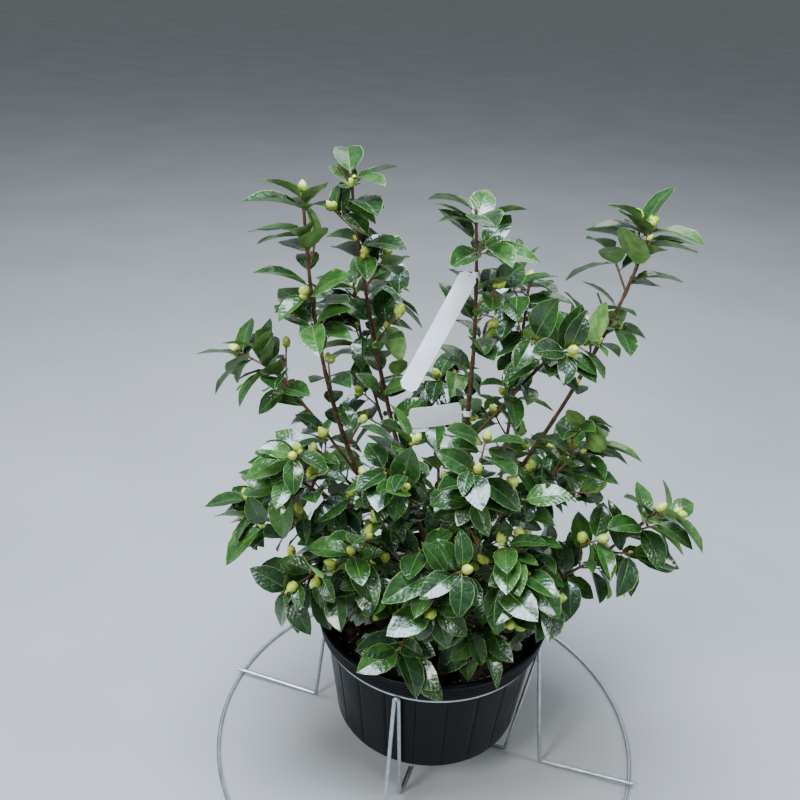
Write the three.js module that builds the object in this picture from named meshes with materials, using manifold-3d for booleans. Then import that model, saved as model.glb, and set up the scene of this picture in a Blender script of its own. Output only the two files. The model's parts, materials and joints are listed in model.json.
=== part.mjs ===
// Camellia shrub in a black nursery pot that hangs in a four-legged wire stand.
// Millimetres, +Z up. The origin is on the pot's axis at ground level, and -Y is the front.

import * as THREE from 'three';
import { mergeVertices } from 'three/addons/utils/BufferGeometryUtils.js';
import Module from 'manifold-3d';

const wasm = await Module();
wasm.setup();

// Clearance between two pieces that touch on the real plant
const GAP = 0.3;

// Round pieces all share this number of sides, so that their facets stay parallel
const ROUND_SIDES = 32;

// Galvanised wire stand
const WIRE_RADIUS = 3;
const GROUND_RING_RADIUS = 346;
const TOP_RING_RADIUS = 170;
const TOP_RING_HEIGHT = 242;
const LEG_COUNT = 4;
const FIRST_LEG_ANGLE = THREE.MathUtils.degToRad(-107);
const LEG_SPOKE_END = 354;
const LEG_OUTER_FOOT = 202;
const LEG_INNER_FOOT = 142;
const LEG_HOOK_END = 90;
const LEG_WIRE_SPACING = 7;
const LEG_TOP_RADIUS = TOP_RING_RADIUS + 2 * WIRE_RADIUS - 0.8;
const LEG_TOP_HEIGHT = 239.5;

// Nursery pot
const POT_BASE_HEIGHT = 79;
const POT_BASE_RADIUS = 148;
const POT_WALL = 3;
const POT_NECK_RADIUS = 166.5;
const POT_BAND_RADIUS = 176;
const POT_BAND_BOTTOM = TOP_RING_HEIGHT + WIRE_RADIUS + GAP;
const POT_LIP_RADIUS = 182;
const POT_LIP_HEIGHT = 7;
const POT_TOP = 279;

// Potting mix
const SOIL_EDGE_HEIGHT = 248;
const SOIL_MIDDLE_HEIGHT = 253;
const SOIL_FLAT_RADIUS = 26;

// Short stem in the middle of the shrub, with its root flare
const TRUNK_FOOT_RADIUS = 15;
const TRUNK_FLARE_HEIGHT = 8;
const TRUNK_RADIUS = 10.5;
const TRUNK_TOP_RADIUS = 9;
const TRUNK_MIDDLE = new THREE.Vector3(0, 0, 300);
const TRUNK_TOP = new THREE.Vector3(-3, 0, 346);
const TRUNK_SIDES = 10;
const BOUGH_SIDES = 6;
const LIMB_STEPS = 3;

// Stems and twigs of the foliage, three-sided
const STEM_STEP = 80;
const STEM_TIP_RADIUS = 2.6;
const TWIG_FOOT_SHARE = 0.5;
const TWIG_TIP_RADIUS = 1.2;
const TWIG_SPREAD = 0.8;
const TWIG_FORWARD = 0.6;
const TWIG_RISE = 0.35;
const TWIG_LENGTHS = [0.8, 1.2];
const TWIG_ATTEMPTS = 4;
const TWIG_CLEARANCE = 5;
const LIMB_CLEARANCE = 3;
const TIP_GAP = 0.5;

// Leaves: the lean is the angle to the twig, and FACE_ values turn the upper side
const LEAF_LENGTH = 76;
const LEAF_WIDTH = 47;
const LEAF_WIDEST = 0.48;
const LEAF_THICKNESS = 1.8;
const LEAF_THICKEST = 0.18;
const LEAF_FOLD = 5;
const LEAF_CURL = 0.06;
const LEAF_SCALES = [0.8, 1.14];
const LEAF_LEANS = [0.8, 1.4];
const LEAF_DROOPS = [0.4, 1.6];
const LEAF_STEP = 20;
const LEAF_TURN = 2.4;
const LEAF_ATTEMPTS = 12;
const LEAF_CLEARANCE = 3;
const FACE_OUT = 0.45;
const FACE_ALONG = 0.25;
const FACE_UP = 0.75;
const FACE_TILT = 0.4;
const ROSETTE_LEAVES = 4;
const ROSETTE_STEP = 6;
const ROSETTE_SCALE = 0.95;
const SPACE_MARGIN = 2;
const CORNER_SPACING = 0.004;

// Fat flower buds at the tips of some twigs
const BUD_SHARE = 0.42;
const BUD_LENGTH = 14;
const BUD_RADIUS = 7;
const BUD_WIDEST = 0.45;

// Every shoot leaves its parent at a share of the parent's length, passes a middle point and
// ends at its tip. It is bare for a share of its length, which is a stem or bough of its own
// where bough is true, and carries side twigs with leaves beyond that. reach is the
// half-width of the space that its foliage keeps to, and droop pulls its leaves down.
const SHOOTS = [
  { name: 'left_tall', on: 'trunk', at: 0.84, middle: [-140, -10, 571], tip: [-198, 15, 915],
    foot: 5.6, bare: 0.45, bough: true, leaves: 16, twigs: 4, spread: 55, reach: 100, droop: 0.12 },
  { name: 'middle_tall', on: 'trunk', at: 0.97, middle: [-91, 25, 651], tip: [-141, 45, 935],
    foot: 5.2, bare: 0.35, bough: true, leaves: 17, twigs: 4, spread: 55, reach: 100, droop: 0.12 },
  { name: 'centre_tall', on: 'trunk', at: 0.9, middle: [30, 0, 606], tip: [20, 15, 905],
    foot: 5.4, bare: 0.46, bough: true, leaves: 17, twigs: 4, spread: 55, reach: 100, droop: 0.12 },
  { name: 'right_tall', on: 'trunk', at: 0.7, middle: [169, 15, 640], tip: [256, 55, 880],
    foot: 4.8, bare: 0.5, bough: true, leaves: 16, twigs: 4, spread: 60, reach: 95, droop: 0.12 },
  { name: 'right_arm', on: 'trunk', at: 0.55, middle: [85, -60, 480], tip: [197, -55, 612],
    foot: 4, bare: 0.4, bough: true, leaves: 16, twigs: 4, spread: 75, reach: 100, droop: 0.2 },
  { name: 'right_middle', on: 'centre_tall', at: 0.42, middle: [105, -15, 680], tip: [140, -25, 735],
    foot: 3, bare: 0.4, bough: true, leaves: 12, twigs: 3, spread: 60, reach: 85, droop: 0.15 },
  { name: 'right_low', on: 'trunk', at: 0.3, middle: [150, -75, 380], tip: [290, -85, 525],
    foot: 3.4, bare: 0.45, bough: true, leaves: 14, twigs: 4, spread: 60, reach: 90, droop: 0.2 },
  { name: 'left_upper', on: 'left_tall', at: 0.38, middle: [-201, -25, 640], tip: [-245, -25, 690],
    foot: 2.8, bare: 0.3, bough: true, leaves: 13, twigs: 3, spread: 70, reach: 90, droop: 0.2 },
  { name: 'left_middle', on: 'left_tall', at: 0.28, middle: [-164, -60, 510], tip: [-208, -68, 555],
    foot: 2.6, bare: 0.3, bough: true, leaves: 13, twigs: 3, spread: 70, reach: 90, droop: 0.25 },
  { name: 'left_far', on: 'left_tall', at: 0.12, middle: [-170, -35, 430], tip: [-277, -35, 450],
    foot: 3, bare: 0.4, bough: true, leaves: 13, twigs: 4, spread: 65, reach: 90, droop: 0.4 },
  { name: 'left_low', on: 'trunk', at: 0.6, middle: [-124, -60, 365], tip: [-205, -85, 380],
    foot: 2.6, bare: 0.4, bough: true, leaves: 14, twigs: 4, spread: 60, reach: 95, droop: 0.6 },
  { name: 'front_upper_left', on: 'left_tall', at: 0.16, middle: [-75, -70, 480], tip: [-80, -110, 590],
    foot: 3.2, bare: 0.35, bough: true, leaves: 17, twigs: 5, spread: 75, reach: 105, droop: 0.4 },
  { name: 'front_upper_right', on: 'centre_tall', at: 0.14, middle: [30, -75, 480], tip: [40, -110, 590],
    foot: 3.2, bare: 0.35, bough: true, leaves: 17, twigs: 5, spread: 75, reach: 105, droop: 0.4 },
  { name: 'back_left', on: 'middle_tall', at: 0.2, middle: [-105, 105, 590], tip: [-140, 165, 725],
    foot: 3.4, bare: 0.35, bough: true, leaves: 15, twigs: 5, spread: 80, reach: 110, droop: 0.35 },
  { name: 'back_centre', on: 'centre_tall', at: 0.12, middle: [0, 110, 470], tip: [5, 190, 590],
    foot: 3.2, bare: 0.35, bough: true, leaves: 14, twigs: 5, spread: 80, reach: 110, droop: 0.4 },
  { name: 'back_right', on: 'right_tall', at: 0.22, middle: [105, 100, 590], tip: [120, 165, 755],
    foot: 3.4, bare: 0.35, bough: true, leaves: 15, twigs: 5, spread: 80, reach: 110, droop: 0.35 },
  { name: 'back_left_low', on: 'trunk', at: 0.55, middle: [-100, 80, 390], tip: [-195, 130, 470],
    foot: 3, bare: 0.35, bough: true, leaves: 15, twigs: 5, spread: 75, reach: 110, droop: 0.5 },
  { name: 'back_right_low', on: 'trunk', at: 0.5, middle: [105, 80, 385], tip: [200, 125, 480],
    foot: 3, bare: 0.35, bough: true, leaves: 15, twigs: 5, spread: 75, reach: 110, droop: 0.5 },
  { name: 'front_left', on: 'trunk', at: 0.68, middle: [-78, -90, 365], tip: [-120, -135, 470],
    foot: 2.8, bare: 0.3, bough: false, leaves: 20, twigs: 7, spread: 80, reach: 125, droop: 0.5 },
  { name: 'front', on: 'trunk', at: 0.56, middle: [0, -105, 360], tip: [-10, -165, 470],
    foot: 2.8, bare: 0.3, bough: false, leaves: 21, twigs: 7, spread: 80, reach: 125, droop: 0.5 },
  { name: 'front_right', on: 'trunk', at: 0.44, middle: [80, -90, 355], tip: [115, -140, 460],
    foot: 2.8, bare: 0.3, bough: false, leaves: 20, twigs: 7, spread: 80, reach: 125, droop: 0.5 },
  { name: 'skirt_front', on: 'trunk', at: 0.16, middle: [35, -62, 314], tip: [62, -120, 320],
    foot: 2.4, bare: 0.4, bough: false, leaves: 11, twigs: 4, spread: 60, reach: 85, droop: 0.9 },
  { name: 'skirt_front_left', on: 'trunk', at: 0.24, middle: [-28, -85, 314], tip: [-50, -152, 318],
    foot: 2.4, bare: 0.4, bough: false, leaves: 11, twigs: 4, spread: 60, reach: 85, droop: 0.9 },
  { name: 'skirt_front_right', on: 'trunk', at: 0.2, middle: [80, -28, 325], tip: [152, -50, 348],
    foot: 2.4, bare: 0.4, bough: false, leaves: 11, twigs: 4, spread: 60, reach: 85, droop: 0.9 },
  { name: 'skirt_left', on: 'trunk', at: 0.32, middle: [-80, 0, 325], tip: [-170, 5, 340],
    foot: 2.4, bare: 0.35, bough: false, leaves: 12, twigs: 4, spread: 65, reach: 100, droop: 0.7 },
  { name: 'skirt_right', on: 'trunk', at: 0.36, middle: [90, 20, 325], tip: [178, 35, 345],
    foot: 2.4, bare: 0.35, bough: false, leaves: 12, twigs: 4, spread: 65, reach: 100, droop: 0.7 },
  { name: 'skirt_back', on: 'trunk', at: 0.28, middle: [0, 90, 325], tip: [0, 165, 350],
    foot: 2.4, bare: 0.35, bough: false, leaves: 11, twigs: 4, spread: 70, reach: 105, droop: 0.7 },
  { name: 'skirt_back_left', on: 'trunk', at: 0.26, middle: [-70, 65, 322], tip: [-130, 118, 342],
    foot: 2.4, bare: 0.35, bough: false, leaves: 11, twigs: 4, spread: 65, reach: 95, droop: 0.7 },
  { name: 'skirt_back_right', on: 'trunk', at: 0.22, middle: [72, 68, 322], tip: [128, 122, 342],
    foot: 2.4, bare: 0.35, bough: false, leaves: 11, twigs: 4, spread: 65, reach: 95, droop: 0.7 },
];

// Blank nursery tags: the strip hangs from a loop round the centre stem
const TAG_THICKNESS = 1;
const TAG_LOOP_HEIGHT = 8;
const TAG_NECK = 8;
const TAG_LOOP_SLACK = 0.5;
const LOOP_SIDES = 8;
const TAGS = [
  { name: 'tag_long', on: 'centre_tall', at: 0.86, hang: [-76, -50, -148], width: 25 },
  { name: 'tag_short', on: 'centre_tall', at: 0.52, hang: [-72, -8, -10], width: 32 },
];

// Pale fallen leaf that lies on the potting mix
const FALLEN_LEAF_PLACE = [112, -60];
const FALLEN_LEAF_SIZE = 26;
const FALLEN_LEAF_THICKNESS = 1;

const materials = {
  bark: new THREE.MeshStandardMaterial({ color: 0x5a3524, roughness: 0.7 }),
  leaf: new THREE.MeshStandardMaterial({ color: 0x1f4a22, roughness: 0.25 }),
  pot: new THREE.MeshStandardMaterial({ color: 0x14171a, roughness: 0.35 }),
  soil: new THREE.MeshStandardMaterial({ color: 0x2a1d16, roughness: 0.95 }),
  wire: new THREE.MeshStandardMaterial({ color: 0xb4babd, roughness: 0.35, metalness: 0.9 }),
  tag: new THREE.MeshStandardMaterial({ color: 0xeef1f4, roughness: 0.5 }),
  fallen: new THREE.MeshStandardMaterial({ color: 0xb9bd94, roughness: 0.8 }),
};

const shrub = new THREE.Group();

function addMesh(name, geometry, material) {
  const mesh = new THREE.Mesh(geometry, material);
  mesh.name = name;
  shrub.add(mesh);
  return mesh;
}

// Solids: conversion to and from the library that joins and cuts them

function toSolid(geometry) {
  const bare = geometry.clone();
  bare.deleteAttribute('normal');
  bare.deleteAttribute('uv');
  const merged = mergeVertices(bare, 1e-4);
  const mesh = new wasm.Mesh({
    numProp: 3,
    vertProperties: new Float32Array(merged.attributes.position.array),
    triVerts: new Uint32Array(merged.index.array),
  });
  return new wasm.Manifold(mesh);
}

// Fusing can seal a hollow or leave a scrap: only the largest shell is kept
function toGeometry(solid) {
  const mesh = solid.getMesh();
  const parent = Array.from({ length: mesh.numVert }, (_, i) => i);
  const find = (i) => {
    let root = i;
    while (parent[root] !== root) root = parent[root];
    while (parent[i] !== root) [parent[i], i] = [root, parent[i]];
    return root;
  };
  const corners = mesh.triVerts;
  for (let i = 0; i < corners.length; i += 3) {
    parent[find(corners[i])] = find(corners[i + 1]);
    parent[find(corners[i + 1])] = find(corners[i + 2]);
  }
  const corner = (i) => new THREE.Vector3().fromArray(mesh.vertProperties, 3 * corners[i]);
  const volumes = new Map();
  for (let i = 0; i < corners.length; i += 3) {
    const shell = find(corners[i]);
    const volume = corner(i).dot(corner(i + 1).cross(corner(i + 2))) / 6;
    volumes.set(shell, (volumes.get(shell) ?? 0) + volume);
  }
  const largest = [...volumes.entries()].sort((a, b) => b[1] - a[1])[0][0];
  const index = [];
  for (let i = 0; i < corners.length; i += 3) {
    if (find(corners[i]) === largest) index.push(corners[i], corners[i + 1], corners[i + 2]);
  }
  const geometry = new THREE.BufferGeometry();
  geometry.setAttribute('position', new THREE.BufferAttribute(new Float32Array(mesh.vertProperties), 3));
  geometry.setIndex(index);
  return geometry;
}

function closedGeometry(vertices, faces) {
  const geometry = new THREE.BufferGeometry();
  const numbers = vertices.flatMap((vertex) => vertex.toArray());
  geometry.setAttribute('position', new THREE.Float32BufferAttribute(numbers, 3));
  geometry.setIndex(faces.flat());
  return geometry;
}

// Tube through points, with a radius at each, flat sides and flat ends
function sweep(points, radii, sides) {
  const vertices = [];
  const faces = [];
  let across = null;
  points.forEach((point, i) => {
    const before = points[Math.max(i - 1, 0)];
    const after = points[Math.min(i + 1, points.length - 1)];
    const along = after.clone().sub(before).normalize();
    if (!across) across = Math.abs(along.z) > 0.9 ? new THREE.Vector3(1, 0, 0) : new THREE.Vector3(0, 0, 1);
    across = across.clone().addScaledVector(along, -across.dot(along)).normalize();
    const third = along.clone().cross(across);
    for (let k = 0; k < sides; k += 1) {
      const angle = (2 * Math.PI * (k + 0.5)) / sides;
      const corner = point.clone().addScaledVector(across, radii[i] * Math.cos(angle));
      vertices.push(corner.addScaledVector(third, radii[i] * Math.sin(angle)));
    }
  });
  for (let i = 0; i + 1 < points.length; i += 1) {
    for (let k = 0; k < sides; k += 1) {
      const a = i * sides + k;
      const b = i * sides + ((k + 1) % sides);
      faces.push([a, b, b + sides], [a, b + sides, a + sides]);
    }
  }
  const last = (points.length - 1) * sides;
  for (let k = 1; k + 1 < sides; k += 1) {
    faces.push([0, k + 1, k], [last, last + k, last + k + 1]);
  }
  return closedGeometry(vertices, faces);
}

// Round piece turned about Z from a closed outline of [radius, height] pairs
function turned(outline, sides = ROUND_SIDES) {
  const points = outline.map(([radius, height]) => new THREE.Vector2(radius, height));
  const geometry = new THREE.LatheGeometry(points, sides);
  return geometry.rotateX(Math.PI / 2);
}

// Closed ring of wire with a flat underside
function wireRing(radius, height) {
  const sides = 6;
  const corner = WIRE_RADIUS / Math.cos(Math.PI / sides);
  const outline = [];
  for (let k = 0; k <= sides; k += 1) {
    const angle = (2 * Math.PI * k) / sides;
    outline.push([radius + corner * Math.cos(angle), height + corner * Math.sin(angle)]);
  }
  return turned(outline);
}

// Seeded numbers between 0 and 1

function seededRandom(seed) {
  const modulus = 2147483647;
  let state = (seed * 7919 + 104729) % modulus;
  const next = () => {
    state = (state * 48271) % modulus;
    return state / modulus;
  };
  next();
  next();
  return next;
}

// Paths of the limbs

function bendThrough(foot, middle, tip) {
  const control = middle.clone().multiplyScalar(2).addScaledVector(foot, -0.5).addScaledVector(tip, -0.5);
  return new THREE.QuadraticBezierCurve3(foot, control, tip);
}

function pathPoints(path, from, to, steps) {
  return Array.from({ length: steps + 1 }, (_, i) => path.getPoint(from + ((to - from) * i) / steps));
}

// Point on a line of equal steps at a share of the way along it
function pointOnLine(line, share) {
  const step = Math.min(Math.floor(share * (line.length - 1)), line.length - 2);
  return line[step].clone().lerp(line[step + 1], share * (line.length - 1) - step);
}

function distanceToLine(point, line) {
  let nearest = Infinity;
  for (let i = 0; i + 1 < line.length; i += 1) {
    const along = line[i + 1].clone().sub(line[i]);
    const share = point.clone().sub(line[i]).dot(along) / along.lengthSq();
    const foot = line[i].clone().addScaledVector(along, Math.min(Math.max(share, 0), 1));
    nearest = Math.min(nearest, foot.distanceTo(point));
  }
  return nearest;
}

const trunkPath = bendThrough(
  new THREE.Vector3(0, 0, SOIL_MIDDLE_HEIGHT + GAP),
  TRUNK_MIDDLE,
  TRUNK_TOP,
);
const limbs = { trunk: { path: trunkPath, end: 1, radii: [TRUNK_RADIUS, TRUNK_TOP_RADIUS] } };

// Radius of a shoot at a share of its length
function radiusAt(shoot, share) {
  return shoot.foot + (STEM_TIP_RADIUS - shoot.foot) * share;
}

// Point at a share of a shoot's length, on the stem that its foliage stands on
function onStem(shoot, share) {
  return pointOnLine(shoot.stem, (share - shoot.from) / (1 - shoot.from));
}

for (const shoot of SHOOTS) {
  const foot = limbs[shoot.on].path.getPoint(shoot.at);
  shoot.path = bendThrough(foot, new THREE.Vector3(...shoot.middle), new THREE.Vector3(...shoot.tip));
  shoot.length = shoot.path.getLength();
  shoot.from = shoot.bough ? shoot.bare : 0;
  const steps = Math.max(3, Math.round((shoot.length * (1 - shoot.from)) / STEM_STEP));
  shoot.stem = pathPoints(shoot.path, shoot.from, 1, steps);
  if (shoot.bough) shoot.stem[0].addScaledVector(shoot.path.getTangent(shoot.bare), TIP_GAP);
  limbs[shoot.name] = {
    path: shoot.path,
    end: shoot.bare,
    radii: [shoot.foot, radiusAt(shoot, shoot.bare)],
  };
  const beyond = shoot.path.getPoint(1).addScaledVector(shoot.path.getTangent(1), LEAF_LENGTH / 3);
  shoot.axis = [...pathPoints(shoot.path, shoot.bare, 1, 8), beyond];
}
for (const limb of Object.values(limbs)) {
  limb.line = pathPoints(limb.path, 0, limb.end, 8);
}

// Tags: where each hangs

for (const tag of TAGS) {
  const shoot = SHOOTS.find((candidate) => candidate.name === tag.on);
  tag.anchor = onStem(shoot, tag.at);
  tag.stemWay = onStem(shoot, tag.at + 0.01).sub(tag.anchor).normalize();
  tag.stemRadius = radiusAt(shoot, tag.at);
  const hang = new THREE.Vector3(...tag.hang);
  tag.length = hang.length();
  tag.way = hang.normalize();
  tag.side = tag.way.clone().cross(new THREE.Vector3(0, 1, 0)).normalize();
  tag.face = tag.way.clone().cross(tag.side);
}

// The space that the foliage may fill

function clearOfPot(point) {
  const radius = Math.hypot(point.x, point.y);
  if (point.z > POT_TOP + 4) return true;
  if (radius < POT_BAND_RADIUS - 10) return point.z > SOIL_MIDDLE_HEIGHT + 8;
  return radius > POT_LIP_RADIUS + 5 && point.z > TOP_RING_HEIGHT - 20;
}

function clearOfTags(point) {
  return TAGS.every((tag) => {
    const offset = point.clone().sub(tag.anchor);
    const along = offset.dot(tag.way);
    const inLength = along > -10 && along < tag.length + 6;
    const inWidth = Math.abs(offset.dot(tag.side)) < tag.width / 2 + 4;
    return !(inLength && inWidth && Math.abs(offset.dot(tag.face)) < 11);
  });
}

function clearOfLoops(root) {
  return TAGS.every((tag) => root.distanceTo(tag.anchor) > 1.3 * TAG_LOOP_HEIGHT);
}

function inSpaceOf(shoot, point, ownLimbs = []) {
  if (!clearOfPot(point) || !clearOfTags(point)) return false;
  const own = distanceToLine(point, shoot.axis);
  if (own > shoot.reach) return false;
  for (const other of SHOOTS) {
    if (other !== shoot && distanceToLine(point, other.axis) < own + SPACE_MARGIN) return false;
  }
  for (const [name, limb] of Object.entries(limbs)) {
    const clear = limb.radii[0] + LIMB_CLEARANCE;
    if (!ownLimbs.includes(name) && distanceToLine(point, limb.line) < clear) return false;
  }
  return true;
}

// Leaves, buds and twigs of one mass of foliage

function across(along, angle) {
  const upright = Math.abs(along.z) > 0.95 ? new THREE.Vector3(0, 1, 0) : new THREE.Vector3(0, 0, 1);
  const first = upright.cross(along).normalize();
  const second = along.clone().cross(first);
  return first.multiplyScalar(Math.cos(angle)).addScaledVector(second, Math.sin(angle));
}

// Direction of a leaf, of its upper face and of its side. The face turns up and outwards.
function leafFrame(root, along, angle, lean, droop, tilt) {
  const way = across(along, angle).multiplyScalar(Math.sin(lean)).addScaledVector(along, Math.cos(lean));
  way.z -= droop;
  way.normalize();
  const outward = new THREE.Vector3(root.x, root.y, 0).normalize();
  const face = outward.multiplyScalar(FACE_OUT).addScaledVector(along, FACE_ALONG);
  face.z += FACE_UP;
  face.addScaledVector(across(way, tilt), FACE_TILT);
  face.addScaledVector(way, -face.dot(way)).normalize();
  return { way, face, side: way.clone().cross(face) };
}

// Corners of a leaf: a thin blade folded along its midrib, its root sunk in the twig
function leafCorners(leaf) {
  const place = (share, aside, lift) => leaf.root.clone()
    .addScaledVector(leaf.way, leaf.length * share)
    .addScaledVector(leaf.side, aside)
    .addScaledVector(leaf.face, lift);
  return {
    root: leaf.root,
    left: place(LEAF_WIDEST, -leaf.width / 2, LEAF_FOLD),
    right: place(LEAF_WIDEST, leaf.width / 2, LEAF_FOLD),
    tip: place(1, 0, -LEAF_CURL * leaf.length),
    lower: place(LEAF_THICKEST, 0, -LEAF_THICKNESS),
  };
}

function leafGeometry(leaf) {
  const { root, left, right, tip, lower } = leaf.corners;
  const faces = [[0, 3, 2], [0, 2, 1], [3, 0, 4], [2, 3, 4], [1, 2, 4], [0, 1, 4]];
  return closedGeometry([root, left, tip, right, lower], faces);
}

// True where the line from start to end goes through the triangle
function pierces([start, end], [a, b, c]) {
  const along = end.clone().sub(start);
  const first = b.clone().sub(a);
  const second = c.clone().sub(a);
  const normal = along.clone().cross(second);
  const scale = first.dot(normal);
  if (Math.abs(scale) < 1e-9) return false;
  const offset = start.clone().sub(a);
  const u = offset.dot(normal) / scale;
  const turned = offset.cross(first);
  const v = along.dot(turned) / scale;
  const share = second.dot(turned) / scale;
  return u >= 0 && v >= 0 && u + v <= 1 && share >= 0 && share <= 1;
}

function bladesCross(leaf, other) {
  return leaf.edges.some((edge) => other.halves.some((half) => pierces(edge, half)))
    || other.edges.some((edge) => leaf.halves.some((half) => pierces(edge, half)));
}

// True where two leaves keep a small clearance all over
function leavesApart(leaf, other) {
  if (leaf.middle.distanceTo(other.middle) > 1.1 * LEAF_LENGTH) return true;
  if (bladesCross(leaf, other)) return false;
  return leaf.spots.every((spot) => other.spots.every((place) => spot.distanceTo(place) > LEAF_CLEARANCE));
}

function leafClearOfTwig(leaf, line) {
  if (leaf.spots.some((spot) => distanceToLine(spot, line) < TWIG_CLEARANCE)) return false;
  for (let i = 0; i + 1 < line.length; i += 1) {
    if (leaf.halves.some((half) => pierces([line[i], line[i + 1]], half))) return false;
  }
  return true;
}

function makeLeaf(root, frame, size) {
  const leaf = { root, ...frame, length: LEAF_LENGTH * size, width: LEAF_WIDTH * size };
  leaf.corners = leafCorners(leaf);
  const { left, right, tip, lower } = leaf.corners;
  const start = root.clone().addScaledVector(leaf.way, 0.12 * leaf.length);
  leaf.middle = left.clone().lerp(right, 0.5);
  leaf.halves = [[start, left, tip], [start, right, tip]];
  leaf.edges = [[start, left], [left, tip], [tip, right], [right, start], [start, tip]];
  const between = leaf.edges.slice(0, 4).map(([from, to]) => from.clone().lerp(to, 0.5));
  leaf.spots = [left, right, tip, lower, leaf.middle, ...between];
  return leaf;
}

// One shoot's foliage, grown from its tip down: leaves alternate up the stem and its side
// twigs and stand close together round each tip
function growFoliage(shoot, seed) {
  const random = seededRandom(seed);
  const between = ([low, high]) => low + (high - low) * random();
  const foliage = { twigs: [], leaves: [] };
  const own = [shoot.name, shoot.on];

  const tryLeaf = (root, along, angle, scale) => {
    if (!clearOfLoops(root)) return;
    for (let attempt = 0; attempt < LEAF_ATTEMPTS; attempt += 1) {
      const lean = between(LEAF_LEANS);
      const turn = angle + (random() - 0.5) * (0.5 + 0.5 * attempt);
      const droop = shoot.droop * between(LEAF_DROOPS);
      const tilt = 2 * Math.PI * random();
      const size = scale * between(LEAF_SCALES) * (1 - 0.03 * attempt);
      const leaf = makeLeaf(root, leafFrame(root, along, turn, lean, droop, tilt), size);
      const clear = leaf.spots.every((point) => inSpaceOf(shoot, point))
        && foliage.leaves.every((other) => leavesApart(leaf, other))
        && foliage.twigs.every((twig) => leafClearOfTwig(leaf, twig.points));
      if (clear) {
        if (foliage.leaves.length < shoot.leaves) foliage.leaves.push(leaf);
        return;
      }
    }
  };

  // Leaves round the tip of a twig and, on some, a fat bud at the very end
  const rosette = (twig, angle) => {
    const tip = twig.points.at(-1);
    const along = tip.clone().sub(twig.points.at(-2)).normalize();
    if (random() < BUD_SHARE) {
      twig.points.push(tip.clone().addScaledVector(along, BUD_WIDEST * BUD_LENGTH));
      twig.points.push(tip.clone().addScaledVector(along, BUD_LENGTH));
      twig.radii.push(BUD_RADIUS, TWIG_TIP_RADIUS);
    }
    for (let i = 0; i < ROSETTE_LEAVES; i += 1) {
      const root = tip.clone().addScaledVector(along, 1 - ROSETTE_STEP * (i + 1));
      tryLeaf(root, along, angle + i * LEAF_TURN, ROSETTE_SCALE);
    }
  };

  const twigTip = (root, along, angle, length) => {
    const way = across(along, angle).multiplyScalar(TWIG_SPREAD).addScaledVector(along, TWIG_FORWARD);
    way.z += TWIG_RISE - 0.4 * shoot.droop;
    const tip = root.clone().addScaledVector(way.normalize(), length);
    const clear = clearOfLoops(root)
      && [0.5, 0.75, 1].every((share) => inSpaceOf(shoot, root.clone().lerp(tip, share), own))
      && foliage.leaves.every((leaf) => leafClearOfTwig(leaf, [root, tip]))
      && foliage.twigs.slice(1).every((twig) => distanceToLine(tip, twig.points) > 4 * TWIG_CLEARANCE);
    return clear ? tip : null;
  };

  const growTwig = (root, along, angle, length, stemRadius) => {
    let tip = null;
    for (let attempt = 0; attempt < TWIG_ATTEMPTS && !tip; attempt += 1) {
      tip = twigTip(root, along, angle + attempt * LEAF_TURN, length * (1 - 0.12 * attempt));
    }
    if (!tip) return false;
    const twig = { points: [root, tip], radii: [TWIG_FOOT_SHARE * stemRadius, TWIG_TIP_RADIUS] };
    foliage.twigs.push(twig);
    rosette(twig, angle);
    const count = Math.floor(root.distanceTo(tip) / LEAF_STEP);
    const way = tip.clone().sub(root).normalize();
    for (let i = count - 2; i > 0; i -= 1) {
      tryLeaf(root.clone().lerp(tip, i / count), way, angle - i * LEAF_TURN, 1);
    }
    return true;
  };

  const { path, bare, from, stem } = shoot;
  const radii = stem.map((_, i) => radiusAt(shoot, from + ((1 - from) * i) / (stem.length - 1)));
  const main = { points: [...stem], radii };
  foliage.twigs.push(main);
  const nodes = Math.floor((shoot.length * (1 - bare)) / LEAF_STEP);
  const everyTwig = Math.max(1, Math.floor((nodes - 1) / shoot.twigs));
  const start = random() * 2 * Math.PI;
  rosette(main, start);
  for (let i = nodes - 1; i > 0; i -= 1) {
    const share = bare + ((1 - bare) * i) / nodes;
    const root = onStem(shoot, share);
    const along = path.getTangent(share);
    const angle = start - i * LEAF_TURN;
    const length = shoot.spread * between(TWIG_LENGTHS) * (1.3 - 0.6 * share);
    const wantsTwig = (nodes - i) % everyTwig === 0 && foliage.twigs.length <= shoot.twigs;
    const grown = wantsTwig && growTwig(root, along, angle, length, radiusAt(shoot, share));
    if (!grown) tryLeaf(root, along, angle, 1);
  }
  return foliage;
}

// True where no two corners of the solid all but coincide, which would spoil its surface
function cornersApart(solid) {
  const corners = solid.getMesh().vertProperties;
  for (let i = 0; i < corners.length; i += 3) {
    for (let j = i + 3; j < corners.length; j += 3) {
      const near = [0, 1, 2].every((k) => Math.abs(corners[i + k] - corners[j + k]) < CORNER_SPACING);
      if (near) return false;
    }
  }
  return true;
}

// The stem is cut clear of the trunk where no bough carries it, and a twig or leaf that
// would meet the rest almost corner on corner is left out
function fuseFoliage(shoot, foliage) {
  const [stem, ...twigs] = foliage.twigs.map((twig) => toSolid(sweep(twig.points, twig.radii, 3)));
  let whole = shoot.bough ? stem : stem.subtract(limbSolid(shoot.on, GAP));
  for (const piece of [...twigs, ...foliage.leaves.map((leaf) => toSolid(leafGeometry(leaf)))]) {
    const joined = whole.add(piece);
    if (cornersApart(joined)) whole = joined;
  }
  return toGeometry(whole);
}

// Limbs: each is one tapering solid, cut where it springs from its parent

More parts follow.
